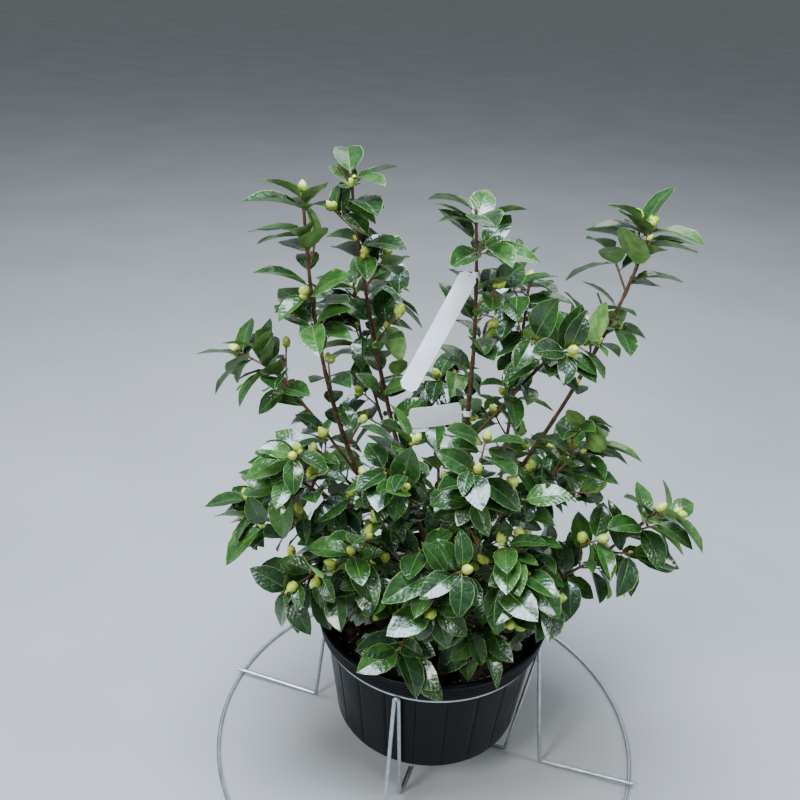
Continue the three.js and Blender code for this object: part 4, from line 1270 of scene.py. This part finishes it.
def walls(rings, sides, first=0):
    """The faces between rings of corners that follow each other."""
    faces = []
    for start in range(first, first + (rings - 1) * sides, sides):
        for side in range(sides):
            a = start + side
            b = start + (side + 1) % sides
            faces.append((a, b, b + sides, a + sides))
    return faces


def bud_shape(lean, fatness):
    """A scaly egg: the ring corners step in and out in turn, like scales that overlap."""
    corners = []
    for number, (share, wide) in enumerate(BUD_RINGS):
        for side in range(BUD_SIDES):
            angle = 2 * math.pi * (side + 0.5 * number) / BUD_SIDES
            step = 1 + SCALE_STEP * ((side + number) % 2)
            radius = BUD_RADIUS * fatness * wide * step
            x = radius * math.cos(angle) + lean * share * share
            corners.append((x, BUD_LENGTH * share, radius * math.sin(angle)))
    corners.append((lean, BUD_LENGTH, 0))
    faces = [(a, d, c, b) for a, b, c, d in walls(len(BUD_RINGS), BUD_SIDES)]
    last = len(corners) - 1 - BUD_SIDES
    faces += [(last + side, len(corners) - 1, last + (side + 1) % BUD_SIDES) for side in range(BUD_SIDES)]
    faces.append(tuple(range(BUD_SIDES)))
    parts = [1] * 2 * BUD_SIDES + [0] * (len(faces) - 1 - 2 * BUD_SIDES) + [1]
    return corners, faces, parts


BUD_SHAPES = [(0, 1.0), (1.2, 0.92), (-0.8, 1.06)]
BUD_SEED = 900
ANY_TURN = 6.28
SECOND_BUD_SHARE = 0.7
AXIL_BUD_SHARE = 0.07
FIRST_BUD_SIZES = (0.85, 1.1)
SECOND_BUD_SIZES = (0.6, 0.85)
AXIL_BUD_SIZES = (0.4, 0.75)
bud_places = []


def add_bud(root, way, sizes, draw):
    size = sizes[0] + (sizes[1] - sizes[0]) * draw()
    way = unit(way)
    side = unit(np.cross(way, across(way, ANY_TURN * draw())))
    bud_places.append({
        "root": root, "turn": turn_of(side, way, np.cross(side, way)), "size": (size, size, size),
        "shape": int(draw() * len(BUD_SHAPES)), "tone": 0,
    })


for mass in masses:
    draw = seeded_numbers(BUD_SEED + mass.number)
    for tip, way in mass.buds:
        add_bud(tip - way, way, FIRST_BUD_SIZES, draw)
        if draw() < SECOND_BUD_SHARE:
            aside = across(way, ANY_TURN * draw())
            add_bud(tip - 2 * way + aside, way + 0.8 * aside, SECOND_BUD_SIZES, draw)
    for leaf in mass.leaves:
        if draw() < AXIL_BUD_SHARE:
            out = unit(leaf.way + 1.2 * leaf.face)
            add_bud(leaf.root + out, out, AXIL_BUD_SIZES, draw)
bud_group = shape_collection("bud_shape", [bud_shape(*numbers) for numbers in BUD_SHAPES])
bud_tree = planting_tree("Buds on tips", [bud_skin], [bud_scale])
bud_piece = plant("flower_buds", bud_places, bud_group, bud_tree)
print(len(bud_places), "buds,", triangles(bud_piece), "triangles")

# %% [markdown]
# ## Bark and twigs
# Camellia bark is thin and smooth, dark reddish brown when wet, with fine stripes along the
# stem and a slight swelling at each old leaf scar. The trunk and the boughs are tubes swept
# in code, because their relief has to follow both the length and the girth. They run on
# through the foliage to each tip, so the wood is in one piece there as in life.

# %% Bark materials
bark, tree, surface, place = finish("Wet camellia bark", {"Roughness": 0.55, "IOR": 1.45})
mottle(tree, place, surface, "#332013", "#664428", 6, 4.0, (0.3, 0.7))
values = {"Scale": per_metre(2.5), "Detail": 4.0}
grain = add_node(tree, "ShaderNodeTexNoise", values, {"Vector": place}).outputs["Fac"]
relief(tree, surface, grain, 0.5, 0.8)
roughness_range(tree, surface, grain, 0.42, 0.7)

twig_bark = mottled("Young twig bark", {"Roughness": 0.5, "IOR": 1.45}, "#5a3a26", "#7d5b3a", 5,
                    bump=(0.3, 0.6))
print("bark finishes:", bark.name, "and", twig_bark.name)

# %% Limbs with their relief
LIMB_RING_STEP = 4.5
SCAR_STEP = 24
FOOT_SINK = 3.5
STRIPES = 1.7
STRIPE_LENGTH = 14
TRUNK_SIDES = 20
TRUNK_RIDGE = 1.6
TRUNK_FLARE = 4.5
FLARE_HEIGHT = 4
TRUNK_END_RADIUS = 6
STEM_SIDES = 10
STEM_RIDGE = 0.6
STEM_FLARE = 0.45
STEM_FLARE_LENGTH = 7
SCAR_WIDTH = 2.5
STEM_GIRTH = 0.77
SCAR_HEIGHT = 0.35


def tube(points, radii, sides, ridge=0.0, seed=0.0):
    """Corners and faces of a closed tube. ridge is the depth of its stripes in millimetres."""
    ways = np.gradient(points, axis=0)
    ways /= np.linalg.norm(ways, axis=1)[:, None]
    first = across(ways[0], 0)
    corners = []
    travelled = 0.0
    for number, (point, way) in enumerate(zip(points, ways)):
        if number:
            travelled += float(np.linalg.norm(point - points[number - 1]))
        first = unit(first - way * (first @ way))
        second = np.cross(way, first)
        for angle in full_turn(sides):
            out = first * math.cos(angle) + second * math.sin(angle)
            along = travelled / STRIPE_LENGTH + seed
            spot = Vector((STRIPES * math.cos(angle), STRIPES * math.sin(angle), along))
            corners.append(point + out * (radii[number] + ridge * field.noise(spot)))
    faces = walls(len(points), sides)
    faces.append(tuple(range(sides - 1, -1, -1)))
    last = (len(points) - 1) * sides
    faces.append(tuple(range(last, last + sides)))
    return corners, faces


def joined(name, parts, material):
    """One mesh from several lists of corners and faces."""
    corners = []
    faces = []
    for some_corners, some_faces in parts:
        faces.extend([[len(corners) + c for c in face] for face in some_faces])
        corners.extend(some_corners)
    return mesh_piece(name, corners, faces, [material])


wood = []
trunk = limbs["trunk"]["path"]
trunk_points = trunk.points(0, 1, 24)
trunk_points[0, 2] -= FOOT_SINK
heights = np.linalg.norm(trunk_points - TRUNK_FOOT, axis=1)
trunk_radii = TRUNK_RADII[0] + (TRUNK_RADII[1] - TRUNK_RADII[0]) * heights / heights[-1]
trunk_radii = trunk_radii + TRUNK_FLARE * np.exp(-heights / FLARE_HEIGHT)
trunk_radii[-1] = TRUNK_END_RADIUS
wood.append(tube(trunk_points, trunk_radii, TRUNK_SIDES, TRUNK_RIDGE))
for number, shoot in enumerate(shoots):
    steps = int(shoot["length"] / LIMB_RING_STEP)
    shares = np.arange(steps + 1) / steps
    run = shares * shoot["length"]
    radii = STEM_GIRTH * radius_at(shoot, shares)
    radii = radii + STEM_FLARE * shoot["foot"] * np.exp(-run / STEM_FLARE_LENGTH)
    radii = radii + SCAR_HEIGHT * np.exp(-((run % SCAR_STEP - SCAR_STEP / 2) / SCAR_WIDTH) ** 2)
    wood.append(tube(shoot["path"].points(0, 1, steps), radii, STEM_SIDES, STEM_RIDGE, 10.0 * number))
limb_piece = joined("bark_trunk_and_boughs", wood, bark)
print("trunk and", len(shoots), "stems,", triangles(limb_piece), "triangles")

# %% [markdown]
# ### Side twigs as tubes
# A twig is a line with a thickness at each of its points. Geometry Nodes turn such lines into
# curves and sweep a small circle along them, which is the quickest way to several hundred
# tapering tubes with closed ends.

# %% Twigs
tube_tree, given = geometry_tree("Tubes along lines", Sides="Int", Finish="Material")
line = add_node(tube_tree, "GeometryNodeMeshToCurve", links={"Mesh": given["Geometry"]})
circle = add_node(tube_tree, "GeometryNodeCurvePrimitiveCircle", {"Radius": 1.0},
                  {"Resolution": given["Sides"]})
thick = add_node(tube_tree, "GeometryNodeInputNamedAttribute", {"Name": "thick"}, data_type="FLOAT")
flow = add_node(tube_tree, "GeometryNodeCurveToMesh", {"Fill Caps": True}, {
    "Curve": line.outputs[0], "Profile Curve": circle.outputs[0], "Scale": thick.outputs[0]})
flow = add_node(tube_tree, "GeometryNodeSetShadeSmooth", links={"Geometry": flow.outputs[0]})
flow = add_node(tube_tree, "GeometryNodeRealizeInstances", links={"Geometry": flow.outputs[0]})
flow = add_node(tube_tree, "GeometryNodeSetMaterial",
                links={"Geometry": flow.outputs[0], "Material": given["Finish"]})
add_node(tube_tree, "NodeGroupOutput", links={"Geometry": flow.outputs[0]})


def tubes(name, lines, sides, material):
    """One mesh of tubes from lines: each has points, radii and may be closed."""
    corners = []
    edges = []
    radii = []
    for line in lines:
        start = len(corners)
        corners.extend(line["points"])
        radii.extend(line["radii"])
        edges.extend((i, i + 1) for i in range(start, len(corners) - 1))
        if line.get("closed"):
            edges.append((len(corners) - 1, start))
    mesh = bpy.data.meshes.new(name + "_lines")
    mesh.from_pydata((np.array(corners) * MM).tolist(), edges, [])
    attribute(mesh, "thick", "FLOAT", "POINT", np.array(radii) * MM)
    return run_tree(name, mesh, tube_tree, Sides=sides, Finish=material)


TWIG_SIDES = 7
TWIG_POINTS = 6
TWIG_BOW = 1.4
TWIG_SWELL = 0.25
TWIG_SEED = 1100
twig_lines = []
for mass in masses:
    draw = seeded_numbers(TWIG_SEED + mass.number)
    for twig in mass.twigs:
        if twig["wood"] is None:
            continue
        root, tip = twig["wood"]
        along = unit(tip - root)
        aside = across(along, ANY_TURN * draw())
        bow = TWIG_BOW * draw()
        shares = np.linspace(0, 1, TWIG_POINTS)
        points = root + np.outer(shares, tip - root) + np.outer(bow * np.sin(np.pi * shares), aside)
        radii = twig["radii"][0] + (twig["radii"][1] - twig["radii"][0]) * shares
        radii = radii + TWIG_SWELL * (np.arange(TWIG_POINTS) % 2)
        twig_lines.append({"points": points, "radii": radii})
twig_piece = tubes("leafy_twigs", twig_lines, TWIG_SIDES, twig_bark)
print(len(twig_lines), "twigs,", triangles(twig_piece), "triangles")

# %% [markdown]
# ## The nursery pot
# The pot is injection-moulded black polypropylene. It has a rolled lip, a wide band with fine
# ridges below it, and a body in slightly tapering panels with a shallow line between each. It
# is turned from an outline, as on a lathe, and the panel lines are pressed in by angle. Wet
# black plastic shows the sky in long soft streaks.

# %% Pot
pot_plastic, tree, surface, place = finish("Black moulded polypropylene",
                                      {"IOR": 1.5, "Roughness": 0.3, "Specular IOR Level": 0.1})
scuff = mottle(tree, place, surface, "#040506", "#0a0c0e", 60, 5.0)
roughness_range(tree, surface, scuff, 0.28, 0.44)
values = {"Scale": per_metre(3), "Detail": 3.0}
fine = add_node(tree, "ShaderNodeTexNoise", values, {"Vector": place}).outputs["Fac"]
relief(tree, surface, fine, 0.25, 0.35)

PANELS = 22
RIDGE_STEPS = 6
PANEL_LINE_DEPTH = 1.3
LINE_ENDS = (86, 241)
BODY_RADIUS = 147.5
LINE_HALF_ANGLE = 0.45
POT_CREASE = math.radians(50)
PANEL_ANGLES = [-LINE_HALF_ANGLE, 0, LINE_HALF_ANGLE, 2, 4, 6, 8, 10, 12, 14]


def arc(centre, radius, start, end, steps):
    """Points [radius, height] on an arc, with its angles in degrees."""
    angles = np.radians(np.linspace(start, end, steps + 1))
    return [(centre[0] + radius * math.cos(a), centre[1] + radius * math.sin(a)) for a in angles]


def ridge_outline(radius, bottom, top, ridges, height):
    """The band's straight side with fine rounded ridges."""
    points = []
    steps = ridges * RIDGE_STEPS
    for share in np.arange(steps + 1) / steps:
        wave = max(0.0, math.cos(2 * math.pi * (share * ridges + 0.5)))
        points.append((radius + height * wave, bottom + (top - bottom) * share))
    return points


# Radius and height from the middle of the base, up the outside and down the inside
outer = [(0, 82), (118, 82), (122, 79.4), (144, 79), *arc((144, 83), 4, -75, 0, 4)]
outer += [(148 + 18.5 * i / 12, 84 + 158 * i / 12) for i in range(1, 13)]
outer += [(167, 244.2), (170, 245.6), (174.6, 245.9), (176, 247.4)]
outer += ridge_outline(176, 249, 269, 4, 0.7) + [(176, 271), (177.2, 271.8)]
outer += arc((178.5, 275.4), 3.5, -80, 90, 8)
outer += [(176, 278.9), (174.2, 278), (173.2, 276), (173, 272), (173, 250), (163.5, 246), (160, 220)]
outer += [(145.2, 84), (142, 82.6), (0, 82.6)]


def spindle_faces(rings, sides):
    """Faces of a closed form that starts and ends in a single corner."""
    last = 1 + (rings - 1) * sides
    faces = walls(rings, sides, 1)
    for side in range(sides):
        after = (side + 1) % sides
        faces += [(0, 1 + after, 1 + side), (last + side, last + after, last + sides)]
    return faces


def turned_piece(outline, angles, press=None):
    """Corners and faces of a closed turned shape whose outline starts and ends on the axis."""
    corners = [(0, 0, outline[0][1])]
    for radius, height in outline[1:-1]:
        for side, angle in enumerate(angles):
            pressed = radius - (press(radius, height, side) if press else 0)
            corners.append((pressed * math.cos(angle), pressed * math.sin(angle), height))
    corners.append((0, 0, outline[-1][1]))
    return corners, spindle_faces(len(outline) - 2, len(angles))


def panel_line(radius, height, side):
    """Depth of the shallow line between two panels, on the outside of the body only."""
    on_body = LINE_ENDS[0] < height < LINE_ENDS[1] and radius > BODY_RADIUS
    return PANEL_LINE_DEPTH if on_body and side % len(PANEL_ANGLES) == 1 else 0


pot_angles = [math.radians(360 / PANELS * i + a) for i in range(PANELS) for a in PANEL_ANGLES]
pot_piece = joined("nursery_pot", [turned_piece(outer, pot_angles, panel_line)], pot_plastic)
pot_piece.data.set_sharp_from_angle(angle=POT_CREASE)
print("pot:", triangles(pot_piece), "triangles, lip at", POT_TOP, "mm")

# %% [markdown]
# ## Potting mix
# The mix is chopped bark with reddish chips, a few pale bits of wood and grey-green feed
# pellets. The bed underneath is a turned shape with an uneven top. Places on that top are
# dealt out by seeded numbers, and the planting tree lays a flat splintered chip or a pellet on
# each, turned its own way.

# %% Mix bed
humus = mottled("Moist potting mix", {"Roughness": 0.9}, "#0c0907", "#261a13", 5, 6.0, (2.0, 1.0))

BED_SIDES = 72
BED_RADIUS = 162
SOIL_RADIUS = 166.5
# Height, width and own number of each noise that makes the top uneven
BUMPS = ((2.4, 17, 0), (1.2, 7, 5))
bed_outline = [(0, 84), (142, 84), (BED_RADIUS, 244), (BED_RADIUS, 247)]
# Height 0 stands for the uneven top
bed_outline += [(BED_RADIUS - 8 * i, 0) for i in range(1, 20)] + [(0, SOIL_MIDDLE_HEIGHT)]


def mix_height(x, y):
    radius = math.hypot(x, y)
    slope = (SOIL_EDGE_HEIGHT - SOIL_MIDDLE_HEIGHT) / (SOIL_RADIUS - SOIL_FLAT_RADIUS)
    bumps = sum(high * field.noise(Vector((x / wide, y / wide, own))) for high, wide, own in BUMPS)
    return SOIL_MIDDLE_HEIGHT + slope * max(radius - SOIL_FLAT_RADIUS, 0) + bumps - 1.0


corners, faces = turned_piece(bed_outline, full_turn(BED_SIDES))
corners = [(x, y, mix_height(x, y) if z in (0, SOIL_MIDDLE_HEIGHT) else z) for x, y, z in corners]
bed_piece = joined("potting_mix_bed", [(corners, faces)], humus)
print("mix bed:", triangles(bed_piece), "triangles")

# %% Chips and pellets
CHIP_TONES = [("Dark composted bark", "#120c09", "#241a14"), ("Reddish bark chip", "#2d1a12", "#4a2c1e"),
              ("Pale wood chip", "#6b5238", "#8a7050")]
chip_tones = [mottled(name, {"Roughness": 0.8}, dark, light, 4, 4.0, (0.6, 0.8))
              for name, dark, light in CHIP_TONES]
chip_tones.append(mottled("Resin-coated feed pellet", {"Roughness": 0.45}, "#8d8a63", "#b5b08a", 6))
CHIP_HALF_WIDTH = 3.6
CHIP_HALF_HEIGHT = 1.3
PELLET_OUTLINE = [(0, -2), (1.4, -1.4), (2, 0), (1.4, 1.4), (0, 2)]


def chip_shape(seed):
    """A splintered slab of bark about 16 mm long, with no two corners alike."""
    draw = seeded_numbers(seed)
    corners = []
    for x in (-8, -3, 3, 8):
        taper = 1 if abs(x) < 5 else 0.45 + 0.3 * draw()
        for y, z in ((-1, -1), (1, -1), (1, 1), (-1, 1)):
            wide = CHIP_HALF_WIDTH * taper * (0.75 + 0.5 * draw())
            high = CHIP_HALF_HEIGHT * taper * (0.7 + 0.6 * draw())
            corners.append((x + 2.4 * (draw() - 0.5), y * wide, z * high))
    return corners, [(0, 3, 2, 1), (12, 13, 14, 15), *walls(4, 4)]


CHIP_COUNT = 1500
PELLET_COUNT = 90
CHIP_SEED = 1300
CHIP_SHAPES = 5
CHIP_LIMITS = (0.68, 0.96)
# The least of each, and how much more it may be
CHIP_LIFTS = (1.0, 1.6)
CHIP_SIZES = (0.45, 0.75)
PELLET_SIZES = (0.8, 0.4)
PELLET_LIFT = 2.2
CHIP_TILT = 0.9
CHIPS_FROM = 22
CHIPS_OUT_TO = 155
draw = seeded_numbers(CHIP_SEED)
chip_places = []
for number in range(CHIP_COUNT + PELLET_COUNT):
    pellet = number >= CHIP_COUNT
    radius = CHIPS_OUT_TO * math.sqrt(draw())
    angle = 2 * math.pi * draw()
    x = radius * math.cos(angle)
    y = radius * math.sin(angle)
    lift = PELLET_LIFT if pellet else CHIP_LIFTS[0] + CHIP_LIFTS[1] * draw()
    least, more = PELLET_SIZES if pellet else CHIP_SIZES
    size = least + more * draw()
    if radius < CHIPS_FROM:
        continue
    kind = draw()
    chip_places.append({
        "root": np.array([x, y, mix_height(x, y) + lift]), "size": (size, size, size),
        "turn": ((draw() - 0.5) * CHIP_TILT, (draw() - 0.5) * CHIP_TILT, ANY_TURN * draw()),
        "shape": CHIP_SHAPES if pellet else int(draw() * CHIP_SHAPES),
        "tone": len(CHIP_TONES) if pellet else sum(kind > limit for limit in CHIP_LIMITS),
    })
chip_shapes = [chip_shape(CHIP_SEED + i + 1) for i in range(CHIP_SHAPES)]
chip_shapes.append(turned_piece(PELLET_OUTLINE, full_turn(8)))
chip_group = shape_collection("chip_shape", chip_shapes)
chip_piece = plant("bark_chips", chip_places, chip_group, planting_tree("Chips on the mix", chip_tones))
chip_piece.data.shade_flat()
print(len(chip_places), "chips and pellets,", triangles(chip_piece), "triangles")

# %% [markdown]
# ## The wire stand
# The stand is bent from 6 mm steel wire and dipped in molten zinc. Two rings and four legs
# are welded where they cross. Each leg is one wire: in along the ground from the big ring, up
# to the small ring that holds the pot, over in a narrow turn, and down again to a short hook.
# The same tree as for the twigs sweeps the wires. Zinc is a bright grey metal with a faint
# patchwork of crystals, called spangle.

# %% Wires
zinc, tree, surface, place = finish("Hot-dipped zinc on steel wire", {"Metallic": 1.0, "Roughness": 0.35})
mottle(tree, place, surface, "#aeb4b7", "#c6cbcd", 14, 3.0)
spangle = add_node(tree, "ShaderNodeTexVoronoi", {"Scale": per_metre(7)}, {"Vector": place})
roughness_range(tree, surface, spangle.outputs["Distance"], 0.3, 0.4)
drips = add_node(tree, "ShaderNodeTexNoise", {"Scale": per_metre(4), "Detail": 2.0}, {"Vector": place})
relief(tree, surface, drips.outputs["Fac"], 0.12, 0.3)

WIRE_RADIUS = 3
WIRE_SIDES = 14
RING_POINTS = 128
GROUND_RING = (346, 3)
TOP_RING = (170, TOP_RING_HEIGHT)
FIRST_LEG_ANGLE = -107
# Radius, distance aside and height of a leg's corners, before they are rounded
LEG_PLACES = [
    (354, -3.5, 9.3), (340, -3.5, 9.3), (214, -3.5, 3.6), (204, -3.5, 3.2), (201.5, -3.5, 5.5),
    (200, -3.5, 15), (175.2, -3.5, 236), (175.2, -2.5, 238.5), (175.2, 0, 239.5), (175.2, 2.5, 238.5),
    (175.2, 3.5, 236), (144, 3.5, 15), (142.5, 3.5, 5.5), (140, 3.5, 3.2), (90, 3.5, 3.2),
]


def ring(radius, height):
    points = [(radius * math.cos(a), radius * math.sin(a), height) for a in full_turn(RING_POINTS)]
    return {"points": points, "radii": [WIRE_RADIUS] * RING_POINTS, "closed": True}


def rounded(points):
    """Cuts the corners of a line twice, so that the wire bends instead of breaking."""
    points = np.array(points, float)
    for _ in range(2):
        first = points[:-1] * 0.75 + points[1:] * 0.25
        second = points[:-1] * 0.25 + points[1:] * 0.75
        middle = np.stack([first, second], 1).reshape(-1, 3)
        points = np.vstack([points[:1], middle[1:-1], points[-1:]])
    return points


def leg(number):
    turn = np.array(Matrix.Rotation(math.radians(FIRST_LEG_ANGLE + 90 * number), 3, "Z"))
    points = rounded(LEG_PLACES) @ turn.T
    return {"points": points, "radii": [WIRE_RADIUS] * len(points)}


wires = [ring(*GROUND_RING), ring(*TOP_RING), *[leg(number) for number in range(4)]]
stand_piece = tubes("stand_wires", wires, WIRE_SIDES, zinc)
print("stand:", len(wires), "wires,", triangles(stand_piece), "triangles")

# %% [markdown]
# ## Plant tags
# Two blank strips of white plastic hang from one stem. Each is a loop round the stem, a short
# neck and a long strip with rounded ends, thin enough to bow a little under its own weight.

# %% Tags
tag_plastic = mottled("White tag plastic", {"Roughness": 0.38, "IOR": 1.48}, "#e6ebf0", "#f8fafb", 35,
                      4.0, (0.2, 0.3))
TAG_THICKNESS = 0.9
TAG_STEPS = 28
TAG_BOW = 2
TAG_CORNER = 6
BAND_SIDES = 28
BAND_GAP = 0.7
BAND_WALL = 1.3
NECK_START = 1.6
NECK_RADIUS = 1.6
NECK_LENGTH = 9
STRIP_OUT = 6
STRIP_BACK = 3
TAG_CREASE = math.radians(40)


def strip(start, tag):
    """A bowed strip with rounded ends: two faces and a rim all round."""
    corners = []
    length = tag["length"]
    for step in range(TAG_STEPS + 1):
        share = step / TAG_STEPS
        run = length * share
        near_end = max(TAG_CORNER - min(run, length - run), 0)
        half = tag["width"] / 2 - TAG_CORNER + math.sqrt(max(TAG_CORNER ** 2 - near_end ** 2, 0))
        middle = start + tag["way"] * run + tag["face"] * TAG_BOW * math.sin(math.pi * share)
        for aside, lift in ((-half, -1), (half, -1), (half, 1), (-half, 1)):
            corners.append(middle + tag["side"] * aside + tag["face"] * lift * TAG_THICKNESS / 2)
    last = 4 * TAG_STEPS
    ends = [(3, 2, 1, 0), (last, last + 1, last + 2, last + 3)]
    return corners, ends + walls(TAG_STEPS + 1, 4)


def band(tag):
    """The flat loop round the stem."""
    inner = tag["stem_radius"] + BAND_GAP
    outer = inner + BAND_WALL
    half = TAG_LOOP_HEIGHT / 2
    first = across(tag["stem_way"], 0)
    second = np.cross(tag["stem_way"], first)
    corners = []
    for radius, height in ((inner, -half), (outer, -half), (outer, half), (inner, half)):
        for angle in full_turn(BAND_SIDES):
            out = first * math.cos(angle) + second * math.sin(angle)
            corners.append(tag["anchor"] + out * radius + tag["stem_way"] * height)
    return corners, [[c % len(corners) for c in face] for face in walls(5, BAND_SIDES)]


tag_pieces = []
for tag in TAGS:
    out = unit(tag["way"] - tag["stem_way"] * (tag["way"] @ tag["stem_way"]))
    foot = tag["anchor"] + out * (tag["stem_radius"] + NECK_START)
    neck = tube(np.linspace(foot, foot + out * NECK_LENGTH, 4), [NECK_RADIUS] * 4, 10)
    parts = [band(tag), neck, strip(foot + out * STRIP_OUT - tag["way"] * STRIP_BACK, tag)]
    piece = joined("plant_" + tag["name"], parts, tag_plastic)
    piece.data.set_sharp_from_angle(angle=TAG_CREASE)
    tag_pieces.append(piece)
    print("plant_" + tag["name"], "is", round(tag["length"]), "mm long")

# %% [markdown]
# ## A fallen leaf
# A dead, torn leaf of some other plant lies on the mix inside the rim. It is pale and dry,
# with ragged lobes that curl up at their ends.

# %% Fallen leaf
dry_leaf = mottled("Dry fallen leaf", {"Roughness": 0.75}, "#bac2a0", "#e4e8d6", 9, 5.0, (0.6, 0.8))
LOBES = 5
LOBE_VALLEY = 0.42
LOBE_DEPTH = 0.66
LOBE_CURL = 1.2
DRY_CURL = 7
DRY_SIDES = 60
DRY_RINGS = 5
DRY_SIZE = 31
DRY_PLACE = (121, -56, 252.6)
DRY_TILT = 0.5
DRY_THICKNESS = 0.5


def dry_corner(share, side, under):
    angle = 2 * math.pi * side / DRY_SIDES
    valley = abs(2 * ((side / DRY_SIDES * LOBES) % 1) - 1)
    lobe = LOBE_VALLEY + LOBE_DEPTH * valley ** 1.2 + (0.06 if side % 2 else -0.03)
    radius = DRY_SIZE * share * lobe
    x = 1.1 * radius * math.cos(angle)
    y = 0.8 * radius * math.sin(angle)
    curl = DRY_CURL * share ** 3 * (0.5 + 0.5 * math.sin(2 * angle + 1))
    curl += LOBE_CURL * math.cos(LOBES * angle) * share
    lift = curl + DRY_TILT * max(x, 0) - (DRY_THICKNESS * (1 - share ** 4) if under else 0)
    return DRY_PLACE[0] + x, DRY_PLACE[1] + y, DRY_PLACE[2] + lift


rings = [(number, True) for number in range(1, DRY_RINGS)]
rings += [(number, False) for number in range(DRY_RINGS, 0, -1)]
corners = [dry_corner(0, 0, True)]
for number, under in rings:
    corners += [dry_corner(number / DRY_RINGS, side, under) for side in range(DRY_SIDES)]
corners.append(dry_corner(0, 0, False))
dry_piece = joined("fallen_dry_leaf", [(corners, spindle_faces(len(rings), DRY_SIDES))], dry_leaf)
print("fallen leaf:", triangles(dry_piece), "triangles")

# %% [markdown]
# ## The pieces and their solids
# A table lists each piece, the fixed solids that it stands for and the name of its finish.
# Those solids are hidden, and everything rides on the one body of the part.

# %% Pieces, their solids and finish names
foliage_nodes = ["foliage_" + shoot["name"] for shoot in shoots]
bough_nodes = ["bough_" + shoot["name"] for shoot in shoots if shoot["bough"]]
stand_nodes = ["stand_ground_ring", "stand_top_ring"] + [f"stand_leg_{i}" for i in range(1, 5)]
HANDED = [
    (limb_piece, ["trunk", *bough_nodes], "bark"),
    (twig_piece, foliage_nodes, "bark"),
    (leaf_piece, foliage_nodes, "leaf"),
    (bud_piece, foliage_nodes, "leaf"),
    (pot_piece, ["pot"], "pot"),
    (bed_piece, ["potting_mix"], "potting_mix"),
    (chip_piece, ["potting_mix"], "potting_mix"),
    (stand_piece, stand_nodes, "wire"),
    (tag_pieces[0], ["tag_long"], "tag"),
    (tag_pieces[1], ["tag_short"], "tag"),
    (dry_piece, ["fallen_leaf"], "fallen_leaf"),
]
for piece, solids, slot in HANDED:
    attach(piece, "root")
    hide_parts(*solids)
print("pieces:", len(HANDED), "with", sum(triangles(row[0]) for row in HANDED), "triangles")
